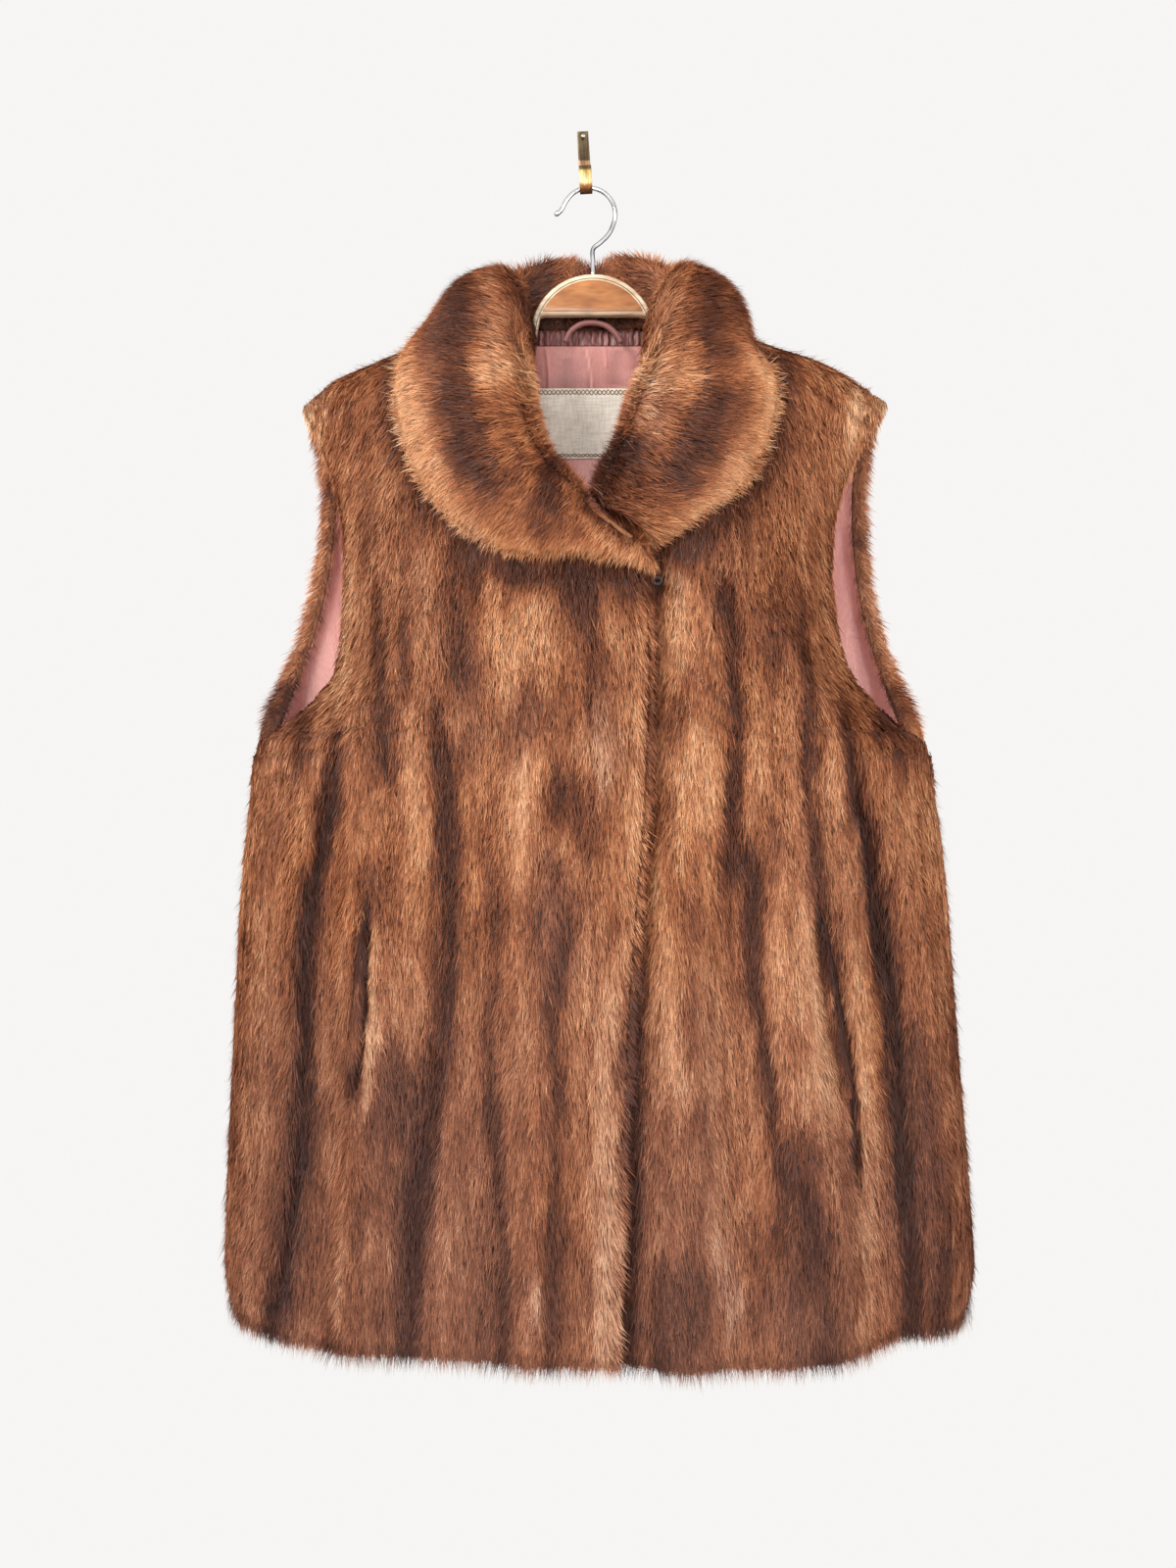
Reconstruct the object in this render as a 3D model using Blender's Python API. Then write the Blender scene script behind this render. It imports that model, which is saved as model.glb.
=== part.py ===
"""A fur vest that hangs on a wooden hanger, which hangs by its chrome hook on a brass wall hook.

Metres, +Z up. The origin is on the wall, behind the nail of the wall hook. +X is to the right of someone who
looks at the vest and +Y goes into the wall, so the fronts of the vest face -Y.

The fur pieces are walls from the lining side of the skin out to where the hair reaches. Each is a grid of
points worked out from the tables below: columns go across the piece, rows go up it. The tables are in
millimetres and a row in each is one section, one fold or one piece of trim.
"""

import math

import bpy
import numpy as np
from mathutils import Matrix, Vector

MM = 0.001
GAP = 0.4 * MM                    # clear space between pieces that are sewn together
FUR_WALL = 12.0 * MM              # skin and hair of the fronts and the back
NECK_WALL = 8.5 * MM              # the same where it is pressed flat behind the hanger
COLLAR_WALL = 12.0 * MM
LINING_WALL = 1.5 * MM
LINING_CLEAR = 2.1 * MM
CENTRE_X = 8.0 * MM               # the middle of the neck and of the hanger

# Horizontal sections of the body: the outermost left and right reach, and how far the front, the side seam and
# the back stand off the wall. Above the armpits left and right are where the section would close.
BODY = {
    "height": (-972, -935, -850, -770, -690, -610, -558, -504, -450, -390, -342, -272, -220, -145),
    "left":   (-268, -279, -281, -278, -274, -270, -265, -259, -256, -252, -250, -246, -244, -240),
    "right":  (294, 306, 305, 299, 293, 287, 281, 273, 270, 266, 264, 260, 257, 253),
    "front":  (140, 141, 141, 140, 138, 136, 134, 131, 126, 120, 113, 96, 82, 64),
    "side":   (62, 62, 62, 61, 61, 60, 60, 59, 53, 48, 46, 42, 39, 36),
    "back":   (4, 4, 4, 4, 4, 4, 4, 4, 4, 4, 5, 8, 12, 13),
}
# The cut edges of the armholes, on the fronts and on the back, from the armpit up to the shoulder tip.
ARMHOLE = {
    "height":      (-504, -490, -474, -455, -425, -390, -350, -315, -280, -250, -222),
    "front_left":  (-259, -240, -217, -199, -191, -189, -189, -193, -203, -217, -232),
    "front_right": (273, 252, 232, 215, 203, 198, 197, 202, 214, 231, 249),
    "back_left":   (-259, -256, -251, -245, -234, -224, -216, -212, -212, -219, -232),
    "back_right":  (273, 269, 263, 257, 247, 238, 232, 230, 231, 237, 249),
}
# The front edges and, above the collar's ends, the necklines of the two fronts.
FRONT_EDGE = {
    "height": (-976, -863, -754, -681, -630, -579, -535, -462, -404, -372, -345, -310, -270, -230, -190, -150),
    "over":   (24, 27, 33, 37, 41, 45, 48, 51, 50, 48, 18, -18, -50, -60, -63, -62),
    "under":  (-6, -5, -4, -4, -4, -4, -4, -4, -4, 4, 32, 52, 64, 72, 77, 78),
}
SHOULDER_TIP = {"left": (-232, -222), "right": (249, -224)}
NECK_POINT = {"left": (-62, -150), "right": (78, -150)}
SHOULDER_ROUND = 40 * MM          # how deep the shoulder rounds over, front and back
SHOULDER_SEAM = 36 * MM           # the shoulder seam's distance from the wall
FRONT_SQUARENESS = 2.3            # 2 is an ellipse, more is boxier
BACK_SQUARENESS = 3.6
ARMHOLE_FLAT = 0.6                # how near to the wall the back's cut edge lies, above the armpit
HEM_FRONT = -971 * MM
HEM_BACK = -962 * MM
HEM_SIDE = -955 * MM
ARMPIT = -504 * MM
BACK_NECK = -163.5 * MM           # height of the back neck seam
BACK_NECK_HALF = 62 * MM

# Soft folds: a trough's top and bottom end in the front view, its half width and its depth. A depth below
# zero is a ridge. The waver is how far the middle of the fold swings sideways.
FOLDS = {
    "front_left": (
        # x_top, z_top, x_bottom, z_bottom, half_width, depth, waver
        (-186, -515, -206, -960, 15, 13, -5),
        (-226, -500, -236, -760, 13, 5, 3),
        (-160, -600, -166, -900, 22, -5, 0),
        (-128, -560, -130, -980, 18, 5, 4),
        (-70, -420, -84, -980, 24, 5, -6),
        (-30, -600, -34, -980, 20, -4, 0),
        (4, -480, -8, -980, 15, 4, 3),
        (-120, -380, -168, -520, 18, -5, 0),
    ),
    "front_right": (
        (222, -560, 250, -975, 16, 12, 6),
        (184, -620, 222, -960, 14, 8, -3),
        (150, -520, 172, -900, 20, -5, 0),
        (112, -440, 124, -980, 20, 6, 4),
        (76, -560, 78, -980, 16, -4, 0),
        (132, -380, 205, -520, 20, -5, 0),
    ),
    "back": (
        (-170, -520, -182, -975, 22, 9, 4),
        (-88, -480, -96, -975, 26, 8, -5),
        (-10, -560, -6, -975, 24, 7, 5),
        (82, -470, 92, -975, 25, 8, -4),
        (176, -540, 192, -975, 24, 9, 5),
    ),
}

# The collar, from its end over the other front, up the left of the neck, round behind it and down the right.
# Each row is one section: its inner foot, its outer foot, and how far the roll stands out between the two.
# The depths of the feet are distances from the wall, and 0 means that the foot rests on the front below it.
COLLAR = (
    # inner x, off wall, z   outer x, off wall, z  roll x, forward, up
    (48, 0, -358,            53, 0, -377,          2, 13, 0),
    (20, 0, -324,            12, 0, -370,          0, 21, 2),
    (-5, 0, -300,            -38, 0, -364,         0, 29, 3),
    (-24, 94, -280,          -84, 0, -343,         2, 34, 4),
    (-35, 80, -248,          -122, 0, -303,        4, 38, 6),
    (-38, 68, -208,          -141, 0, -250,        3, 38, 10),
    (-38, 54, -176,          -143, 0, -208,        -2, 33, 20),
    (-46, 40, -149,          -128, 42, -168,       -5, 18, 30),
    (-42, 24, -156,          -104, 4, -176,        -3, 3, 46),
    (-14, 22.5, -162,        -56, 1, -184,         0, 0.5, 60),
    (8, 22.5, -162,          8, 1, -188,           0, 0.5, 54),
    (30, 22.5, -162,         72, 1, -184,          0, 0.5, 60),
    (58, 24, -156,           120, 4, -176,         3, 3, 46),
    (62, 40, -149,           144, 42, -168,        5, 18, 30),
    (50, 54, -172,           151, 0, -206,         2, 33, 20),
    (46, 68, -206,           147, 0, -246,         -3, 38, 10),
    (41, 80, -240,           128, 0, -296,         -4, 37, 6),
    (36, 90, -276,           96, 0, -331,          -2, 30, 4),
    (31, 0, -302,            70, 0, -348,          0, 23, 3),
    (27, 0, -316,            52, 0, -354,          0, 17, 2),
)
COLLAR_CLEAR = 2.5 * MM           # between the collar and the panels that it lies on
COLLAR_STATIONS = 45
COLLAR_ACROSS = 11
COLLAR_SQUARENESS = 2.4
COLLAR_CREST_SKEW = 0.8           # below 1 moves the crest towards the neck

# Pocket openings: a fur welt along each, from its top to its foot in the front view.
POCKETS = {
    "pocket_welt_right": ("front_left", (-164, -640), (-176, -768), 7.0),
    "pocket_welt_left": ("front_right", (180, -640), (202, -768), 7.0),
}
WELT_WALL = 3.0 * MM
WELT_CLEAR = 1.2 * MM

YOKE_TOP = -177 * MM
YOKE_FOOT = -212 * MM
YOKE_HALF = 62 * MM
YOKE_CLEAR = 1.0 * MM
RUCHE_HALF = 46 * MM
RUCHE_GATHERS = 15
RUCHE_DEPTH = 1.1 * MM
RUCHE_WALL = 1.2 * MM
RUCHE_CLEAR = 0.8 * MM
LABEL_SIZE = (118 * MM, 57 * MM)
LABEL_MIDDLE_X = -7 * MM
LABEL_WALL = 0.9 * MM
LABEL_CLEAR = 4.8 * MM            # off the back's wall, so in front of the lining and its folds
# The hanging loop of satin tube: x, y and height of its middle line, and its radius.
LOOP = ((-15, -29.5, -175), (-9, -30, -165.5), (0, -30.5, -160.6), (9, -30.5, -159.9), (19, -30.3, -162.5),
        (27, -30, -169), (31, -29.5, -175.5))
LOOP_RADIUS = 2.3 * MM
# The covered ring at the edge of the under front: its place, half width, half height and thread radius.
EYE = (56.5 * MM, -380 * MM, 3.6 * MM, 2.6 * MM, 1.1 * MM)
EYE_CLEAR = 3.0 * MM

CROWN_RADIUS = 50.7 * MM
CROWN_CENTRE_Z = -173.1 * MM
CROWN_FOOT = -155.5 * MM
HANGER_Y = -33.0 * MM
HANGER_THICK = 11.4 * MM
HANGER_HALF = 206 * MM
HANGER_ARM_START = 49 * MM        # where the arms leave the crown
HANGER_ARM_TOP = (-161 * MM, -233 * MM)   # heights of the arm's top, at the crown and at its tip
HANGER_ARM_TALL = (26 * MM, 13 * MM)
HANGER_BOW = 10 * MM              # how far the tips come forward
RIM_WIDE = 5.6 * MM
PANEL_THICK = 0.8 * MM

WIRE_RADIUS = 1.9 * MM
HOOK_Y = -7.1 * MM
HOOK_RADIUS = 21.9 * MM
HOOK_CENTRE = (4.8 * MM, -62.8 * MM)
HOOK_NECK_Z = -97 * MM            # where the straight shank starts to turn into the loop
HOOK_NECK = ((6, -90), (13, -81))         # the way from there to the loop, from CENTRE_X
HOOK_TIP = ((-18.2, -59.5), (-23.5, -63.5))
# The nail's head: distance from the wall and radius, from the strip outwards.
NAIL = ((1.7, 1.0), (2.6, 1.0), (3.0, 2.3), (4.0, 2.1), (4.5, 1.0))
NAIL_Z = 3.2 * MM

BRASS_WIDE = 10.2 * MM
BRASS_THICK = 1.4 * MM
BRASS_TOP = 8.5 * MM
BRASS_REACH = 13.4 * MM           # from the wall to the middle of the front limb
BRASS_BEND_Z = -38.65 * MM
BRASS_LIP = -25.0 * MM            # top of the front limb
BRASS_LEAN = math.radians(3.3)


def clear_scene():
    for thing in list(bpy.data.objects):
        bpy.data.objects.remove(thing, do_unlink=True)


def material(name, colour, roughness, metallic=0.0):
    made = bpy.data.materials.new(name)
    made.use_nodes = True
    shader = made.node_tree.nodes["Principled BSDF"]
    shader.inputs["Base Color"].default_value = (*colour, 1.0)
    shader.inputs["Roughness"].default_value = roughness
    shader.inputs["Metallic"].default_value = metallic
    return made


def spline(xs, ys, at):
    """A smooth curve through the points of a table, straight on past its ends."""
    xs, ys, at = np.asarray(xs, float), np.asarray(ys, float), np.asarray(at, float)
    slope = np.gradient(ys, xs)
    at_in = np.clip(at, xs[0], xs[-1])
    i = np.clip(np.searchsorted(xs, at_in, side="right") - 1, 0, len(xs) - 2)
    step = xs[i + 1] - xs[i]
    t = (at_in - xs[i]) / step
    start = (1 + 2 * t) * (1 - t) ** 2 * ys[i] + t * (1 - t) ** 2 * step * slope[i]
    end = t * t * (3 - 2 * t) * ys[i + 1] + t * t * (t - 1) * step * slope[i + 1]
    return start + end


def table(rows, column, height):
    return spline(rows["height"], rows[column], np.asarray(height) / MM) * MM


def ease(value):
    value = np.clip(value, 0.0, 1.0)
    return value * value * (3 - 2 * value)


def shoulder_line(x):
    """Height of the shoulder's top at x, with the shoulder tips a little rounded."""
    (tip_l, z_l), (tip_r, z_r) = SHOULDER_TIP["left"], SHOULDER_TIP["right"]
    (neck_l, z_nl), (neck_r, z_nr) = NECK_POINT["left"], NECK_POINT["right"]
    return np.interp(x / MM, (tip_l, neck_l, neck_r, tip_r), (z_l, z_nl, z_nr, z_r)) * MM


def over_shoulder(x, z, y, strength=1.0):
    """Round a depth back to the shoulder seam near the top of the shoulder."""
    below = np.clip((shoulder_line(x) - z) / SHOULDER_ROUND, 0.0, 1.0)
    turn = np.sqrt(1 - (1 - below) ** 2)
    turn = 1 - strength * (1 - turn)
    return -SHOULDER_SEAM + (y + SHOULDER_SEAM) * turn


def fold_depth(panel, x, z):
    """How far the folds of a panel push its wall inwards at a place in the front view."""
    depth = np.zeros_like(x)
    for x_top, z_top, x_foot, z_foot, half_width, deep, waver in FOLDS[panel]:
        along = (z_top * MM - z) / ((z_top - z_foot) * MM)
        middle = (x_top + (x_foot - x_top) * along + waver * np.sin(2 * math.pi * along)) * MM
        fade = ease(along / 0.25) * ease((1.12 - along) / 0.2)
        depth += deep * MM * fade * np.exp(-(((x - middle) / (half_width * MM)) ** 2))
    return depth


def armhole_keep(z):
    """The share of a section's half width that is left at the armhole's cut edge."""
    return 1 - 0.05 * ease((z - ARMPIT) / (45 * MM))


def front_half_width(side, z):
    lower = table(BODY, side, z)
    upper = table(ARMHOLE, "front_" + side, z)
    edge = np.where(z < ARMPIT, lower, upper)
    middle = body_middle(z)
    return np.abs(edge - middle) / armhole_keep(z)


def body_middle(z):
    return (table(BODY, "left", z) + table(BODY, "right", z)) / 2


def front_surface(side, x, z):
    """Depth of the fronts' hair tips, as a height over the wall, with the shoulder rounded."""
    reach = np.clip(np.abs(x - body_middle(z)) / front_half_width(side, z), 0.0, 1.0)
    inward = (1 - reach ** FRONT_SQUARENESS) ** (1 / FRONT_SQUARENESS)
    side_y, front_y = -table(BODY, "side", z), -table(BODY, "front", z)
    return over_shoulder(x, z, side_y + (front_y - side_y) * inward)


def row_heights(hem, top):
    """Heights of a column's points, from its hem to its top, closer together where the shoulder rounds."""
    body = np.linspace(0, 1, 13)[:-1]
    chest = np.linspace(0, 1, 10)[:-1] ** 1.35
    turn = 1 - np.cos(np.linspace(math.pi / 2, 0, 5))
    lower = hem + (ARMPIT - hem) * body
    middle = ARMPIT + (top - SHOULDER_ROUND - ARMPIT) * chest
    upper = top - SHOULDER_ROUND * turn
    return np.concatenate([lower, middle, upper])


def normals(grid, outward):
    """Unit normals of a grid of points, turned to the side that a sample direction says."""
    across = np.gradient(grid, axis=0)
    up = np.gradient(grid, axis=1)
    normal = np.cross(across, up)
    normal /= np.linalg.norm(normal, axis=2, keepdims=True) + 1e-12
    middle = normal[grid.shape[0] // 2, grid.shape[1] // 3]
    return normal if np.dot(middle, outward) > 0 else -normal


def front_grid(side):
    """The outer points of one front: columns from the side seam or armhole to the front edge or neckline."""
    over = side == "left"
    count = 22 if over else 20
    sign = -1 if over else 1
    share = np.linspace(0, 1, count)
    x_top = (SHOULDER_TIP[side][0] + (NECK_POINT[side][0] - SHOULDER_TIP[side][0]) * share) * MM
    top = shoulder_line(x_top)
    hem = HEM_SIDE + (HEM_FRONT - HEM_SIDE) * ease(share * 1.8)
    z = np.array([row_heights(foot, head) for foot, head in zip(hem, top)])
    x = np.zeros_like(z)
    for row in range(z.shape[1]):
        z_out, z_in = z[0, row], z[-1, row]
        middle = body_middle(z_out)
        half = front_half_width(side, z_out)
        x_out = middle + sign * half * armhole_keep(z_out)
        x_in = table(FRONT_EDGE, "over" if over else "under", z_in)
        if row == z.shape[1] - 1:
            x_out, x_in = x_top[0], x_top[-1]
        # Near the side seam the points follow the turn of the section, so that its rounding keeps its shape.
        start = math.acos(min(1.0, (abs(x_out - middle) / half) ** (FRONT_SQUARENESS / 2)))
        angle = start + (math.pi / 2 - start) * share
        curved = 1 - (np.cos(angle) / math.cos(start)) ** (2 / FRONT_SQUARENESS)
        bend = 0.8 * (1 - ease((z_out - ARMPIT) / (120 * MM)))
        x[:, row] = x_out + (x_in - x_out) * (share + (curved - share) * bend)
    return np.stack([x, front_surface(side, x, z), z], axis=2)


def tuck_under(grid):
    """Push the under front back where the over front lies on it."""
    x, z = grid[:, :, 0], grid[:, :, 2]
    edge = table(FRONT_EDGE, "over", np.minimum(z, -372 * MM))
    inside = ease((edge + 40 * MM - x) / (36 * MM))
    grid[:, :, 1] += inside * (FUR_WALL + 2.2 * MM)
    return grid


def wall(name, outer, inner, look):
    """A closed wall between two grids of points, stitched along its four edges."""
    columns, rows = outer.shape[:2]
    points = np.concatenate([outer.reshape(-1, 3), inner.reshape(-1, 3)])
    second = columns * rows

    def at(i, j, face):
        return face * second + i * rows + j

    faces = []
    for i in range(columns - 1):
        for j in range(rows - 1):
            corners = [(i, j), (i + 1, j), (i + 1, j + 1), (i, j + 1)]
            faces.append([at(a, b, 0) for a, b in corners])
            faces.append([at(a, b, 1) for a, b in reversed(corners)])
    rim = [(i, 0) for i in range(columns)] + [(columns - 1, j) for j in range(1, rows)]
    rim += [(i, rows - 1) for i in range(columns - 2, -1, -1)] + [(0, j) for j in range(rows - 2, 0, -1)]
    for (a, b), (c, d) in zip(rim, rim[1:] + rim[:1]):
        faces.append([at(c, d, 0), at(a, b, 0), at(a, b, 1), at(c, d, 1)])
    return solid(name, points, faces, look)


def solid(name, points, faces, look, smooth=True):
    mesh = bpy.data.meshes.new(name)
    mesh.from_pydata([tuple(p) for p in points], [], faces)
    mesh.update()
    if signed_volume(mesh) < 0:
        mesh.flip_normals()
    made = bpy.data.objects.new(name, mesh)
    bpy.context.scene.collection.objects.link(made)
    mesh.materials.append(look)
    if smooth:
        mesh.shade_smooth()
        mesh.set_sharp_from_angle(angle=math.radians(50))
    return made


def signed_volume(mesh):
    total = 0.0
    for face in mesh.polygons:
        corners = [mesh.vertices[i].co for i in face.vertices]
        for second, third in zip(corners[1:], corners[2:]):
            total += corners[0].dot(second.cross(third))
    return total


def fur_front(name, side, look):
    """One front. Its seams stay flat, so that they meet the back's seams with a small gap."""
    panel = "front_" + side
    outer = front_grid(side)
    if side == "right":
        outer = tuck_under(outer)
    normal = normals(outer, (0, -1, 0))
    depth = fold_depth(panel, outer[:, :, 0], outer[:, :, 2])
    free = np.minimum(1, np.linspace(0, 1, outer.shape[0]) * 7)[:, None]
    depth = depth * free
    outer = outer - normal * depth[:, :, None]
    thick = FUR_WALL * edge_taper(outer.shape[:2]) * near_seam(outer, 1)
    inner = outer - normal * thick[:, :, None]
    seam_row = outer.shape[1] - 1
    below_armpit = outer[0, :, 2] <= ARMPIT + 1e-6
    for grid in (outer, inner):
        grid[0, below_armpit, 1] = outer[0, below_armpit, 1] - GAP / 2
        grid[:, seam_row, 1] = -SHOULDER_SEAM - GAP / 2
    inner[0, below_armpit, 0] = outer[0, below_armpit, 0] + (FUR_WALL if side == "left" else -FUR_WALL)
    inner[:, seam_row, 2] = outer[:, seam_row, 2] - thick[:, seam_row]
    return outer, inner, wall(name, outer, inner, look)


def near_seam(grid, ends):
    """The share of its thickness that a wall keeps near the shoulder seam, and less at the shoulder's tip."""
    below = (shoulder_line(grid[:, :, 0]) - grid[:, :, 2]) / SHOULDER_ROUND
    share = np.linspace(0, 1, grid.shape[0])
    away = np.minimum(share, 1 - share) if ends == 2 else share
    tip = ease(1 - away / 0.1)[:, None]
    return 1 - ease(1 - below) * (0.3 + 0.35 * tip)


def edge_taper(shape):
    """Thinner at the free front edge and at the hem, where the hair lies over the cut edge."""
    across = np.linspace(0, 1, shape[0])[:, None]
    up = np.linspace(0, 1, shape[1])[None, :]
    thin = 1 - 0.35 * ease((across - 0.93) / 0.07) * np.ones_like(up)
    return thin * (1 - 0.35 * ease((0.04 - up) / 0.04))


def back_top(x):
    """Height of the back's top edge: the shoulder line, cut down to the neck seam between the neck points."""
    away = (np.abs(x - CENTRE_X) - BACK_NECK_HALF) / (14 * MM)
    return BACK_NECK + (shoulder_line(x) - BACK_NECK) * ease(away)


def back_surface(x, z):
    """Depth of the back's hair tips: flat along the wall, round at the sides, over the shoulders to the seam."""
    middle = body_middle(z)
    left = np.where(z < ARMPIT, table(BODY, "left", z), table(ARMHOLE, "back_left", z))
    right = np.where(z < ARMPIT, table(BODY, "right", z), table(ARMHOLE, "back_right", z))
    half = np.where(x < middle, middle - left, right - middle)
    reach = np.clip(np.abs(x - middle) / half, 0.0, 1.0)
    outward = (1 - reach ** BACK_SQUARENESS) ** (1 / BACK_SQUARENESS)
    outward = outward + (1 - outward) * ARMHOLE_FLAT * ease((z - ARMPIT) / (90 * MM))
    side_y, back_y = -table(BODY, "side", z), -table(BODY, "back", z)
    y = side_y + (back_y - side_y) * outward
    shoulder = ease((np.abs(x - CENTRE_X) - BACK_NECK_HALF) / (20 * MM))
    return over_shoulder(x, z, y, shoulder)


def back_grid():
    """The outer points of the back: columns from the left seam to the right one, rows from hem to shoulder."""
    angle = np.linspace(0, math.pi, 29)
    share = (1 - np.cos(angle)) / 2 * 0.7 + np.linspace(0, 1, 29) * 0.3
    tip_l, tip_r = SHOULDER_TIP["left"], SHOULDER_TIP["right"]
    x_top = (tip_l[0] + (tip_r[0] - tip_l[0]) * share) * MM
    top = back_top(x_top)
    top[0], top[-1] = tip_l[1] * MM, tip_r[1] * MM
    hem = HEM_BACK + (HEM_SIDE - HEM_BACK) * np.abs(2 * share - 1) ** 6
    z = np.array([row_heights(foot, head) for foot, head in zip(hem, top)])
    rows = z.shape[1]
    x = np.zeros_like(z)
    for row in range(rows):
        ends = []
        for column, side in ((0, "left"), (-1, "right")):
            height = z[column, row]
            low, high = table(BODY, side, height), table(ARMHOLE, "back_" + side, height)
            ends.append(low if height < ARMPIT else high)
        if row == rows - 1:
            ends = [tip_l[0] * MM, tip_r[0] * MM]
        x[:, row] = ends[0] + (ends[1] - ends[0]) * share
    return np.stack([x, back_surface(x, z), z], axis=2)


def fur_back(name, look):
    outer = back_grid()
    normal = normals(outer, (0, 1, 0))
    x, z = outer[:, :, 0], outer[:, :, 2]
    free = np.minimum(1, 6 * np.sin(np.linspace(0, math.pi, outer.shape[0])))[:, None]
    outer = outer - normal * (fold_depth("back", x, z) * free)[:, :, None]
    thick = (NECK_WALL + (FUR_WALL - NECK_WALL) * ease((-190 * MM - z) / (60 * MM))) * near_seam(outer, 2)
    inner = outer - normal * thick[:, :, None]
    below_armpit = outer[0, :, 2] <= ARMPIT + 1e-6
    shoulder = np.abs(outer[:, -1, 0] - CENTRE_X) > BACK_NECK_HALF + 16 * MM
    for grid in (outer, inner):
        for column in (0, -1):
            grid[column, below_armpit, 1] = -table(BODY, "side", outer[column, below_armpit, 2]) + GAP / 2
        grid[shoulder, -1, 1] = -SHOULDER_SEAM + GAP / 2
    inner[0, below_armpit, 0] = outer[0, below_armpit, 0] + FUR_WALL
    inner[-1, below_armpit, 0] = outer[-1, below_armpit, 0] - FUR_WALL
    inner[shoulder, -1, 2] = outer[shoulder, -1, 2] - thick[shoulder, -1]
    neck = ~shoulder
    inner[neck, -1, 2] = outer[neck, -1, 2]
    return outer, inner, wall(name, outer, inner, look)


def depth_on(grid, x, z):
    """The y of a grid of points where a line along Y at x, z meets it."""
    columns = np.arange(grid.shape[0])
    xs = np.array([np.interp(z, grid[c, :, 2], grid[c, :, 0]) for c in columns])
    ys = np.array([np.interp(z, grid[c, :, 2], grid[c, :, 1]) for c in columns])
    order = np.argsort(xs)
    return float(np.interp(x, xs[order], ys[order]))


def back_lining(name, back_inner, look):
    """Satin over the inside of the back, from a little above the hem up to the yoke."""
    rows = 21
    full = np.delete(back_inner, (1, -2), axis=0)     # these columns crowd the seams
    face = full[:, :rows + 1].copy()
    for column, line in enumerate(full):
        low, high = line[0, 2] + 14 * MM, min(YOKE_FOOT - 1.5 * MM, line[rows, 2])
        for row, height in ((0, low), (rows, high)):
            for axis in range(3):
                face[column, row, axis] = np.interp(height, line[:, 2], line[:, axis])
    face[0] = 0.8 * face[0] + 0.2 * face[1]
    face[-1] = 0.8 * face[-1] + 0.2 * face[-2]
    inward = -normals(face, (0, 1, 0))
    inward[0], inward[-1] = inward[1], inward[-2]
    back = face + inward * LINING_CLEAR
    return wall(name, back, back + inward * LINING_WALL, look)


def patch(name, grid, xs, zs, clear, thick, look, raise_by=None):
    """A wall that lies on a grid of points, on its -Y side: xs and zs are its columns and rows."""
    near = np.zeros((len(xs), len(zs), 3))
    for i, x in enumerate(xs):
        for j, z in enumerate(zs):
            near[i, j] = (x, depth_on(grid, x, z) - clear, z)
    far = near.copy()
    far[:, :, 1] -= thick
    if raise_by is not None:
        near[:, :, 1] -= raise_by
        far[:, :, 1] -= raise_by
    return wall(name, far, near, look)


def neck_yoke(name, grid, look):
    """The smooth satin yoke between the ruched band and the label."""
    xs = CENTRE_X + np.linspace(-YOKE_HALF, YOKE_HALF, 13)
    return patch(name, grid, xs, np.linspace(YOKE_FOOT, YOKE_TOP, 3), YOKE_CLEAR, LINING_WALL, look)


def ruched_band(name, grid, look):
    """The gathered satin above the yoke: each gather is a small wave, sharper at its root."""
    count = RUCHE_GATHERS * 4 + 1
    xs = CENTRE_X + np.linspace(-RUCHE_HALF, RUCHE_HALF, count)
    zs = np.linspace(YOKE_TOP + 0.8 * MM, BACK_NECK - 0.4 * MM, 3)
    wave = 0.5 - 0.5 * np.cos(np.arange(count) * math.pi / 2)
    wave = wave[:, None] * RUCHE_DEPTH * np.array([1.0, 1.3, 0.9])[None, :]
    return patch(name, grid, xs, zs, RUCHE_CLEAR, RUCHE_WALL, look, wave)


def swept(name, path, radii, sides, look, closed=False):
    """A round bar along a path, with a ring of points at each of its places."""
    path = [Vector(p) for p in path]
    count = len(path)
    points, faces = [], []
    across = None
    for i, centre in enumerate(path):
        before = path[i - 1] if i or closed else path[i]
        after = path[(i + 1) % count] if i < count - 1 or closed else path[i]
        along = (after - before).normalized()
        if across is None:
            across = along.orthogonal().normalized()
        across = (across - along * across.dot(along)).normalized()
        other = along.cross(across)
        for k in range(sides):
            turn = 2 * math.pi * k / sides
            points.append(centre + (across * math.cos(turn) + other * math.sin(turn)) * radii[i])
    for i in range(count if closed else count - 1):
        for k in range(sides):
            a, b = i * sides, (i + 1) % count * sides
            faces.append([a + k, a + (k + 1) % sides, b + (k + 1) % sides, b + k])
    if not closed:
        faces.append(list(range(sides))[::-1])
        faces.append([(count - 1) * sides + k for k in range(sides)])
    return solid(name, points, faces, look)


def smooth_path(points, count):
    """Points at even steps of a smooth curve through the given ones."""
    points = np.array(points, float)
    places = np.arange(len(points))
    at = np.linspace(0, len(points) - 1, count)
    return np.stack([spline(places, points[:, axis], at) for axis in range(3)], axis=1)


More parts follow.
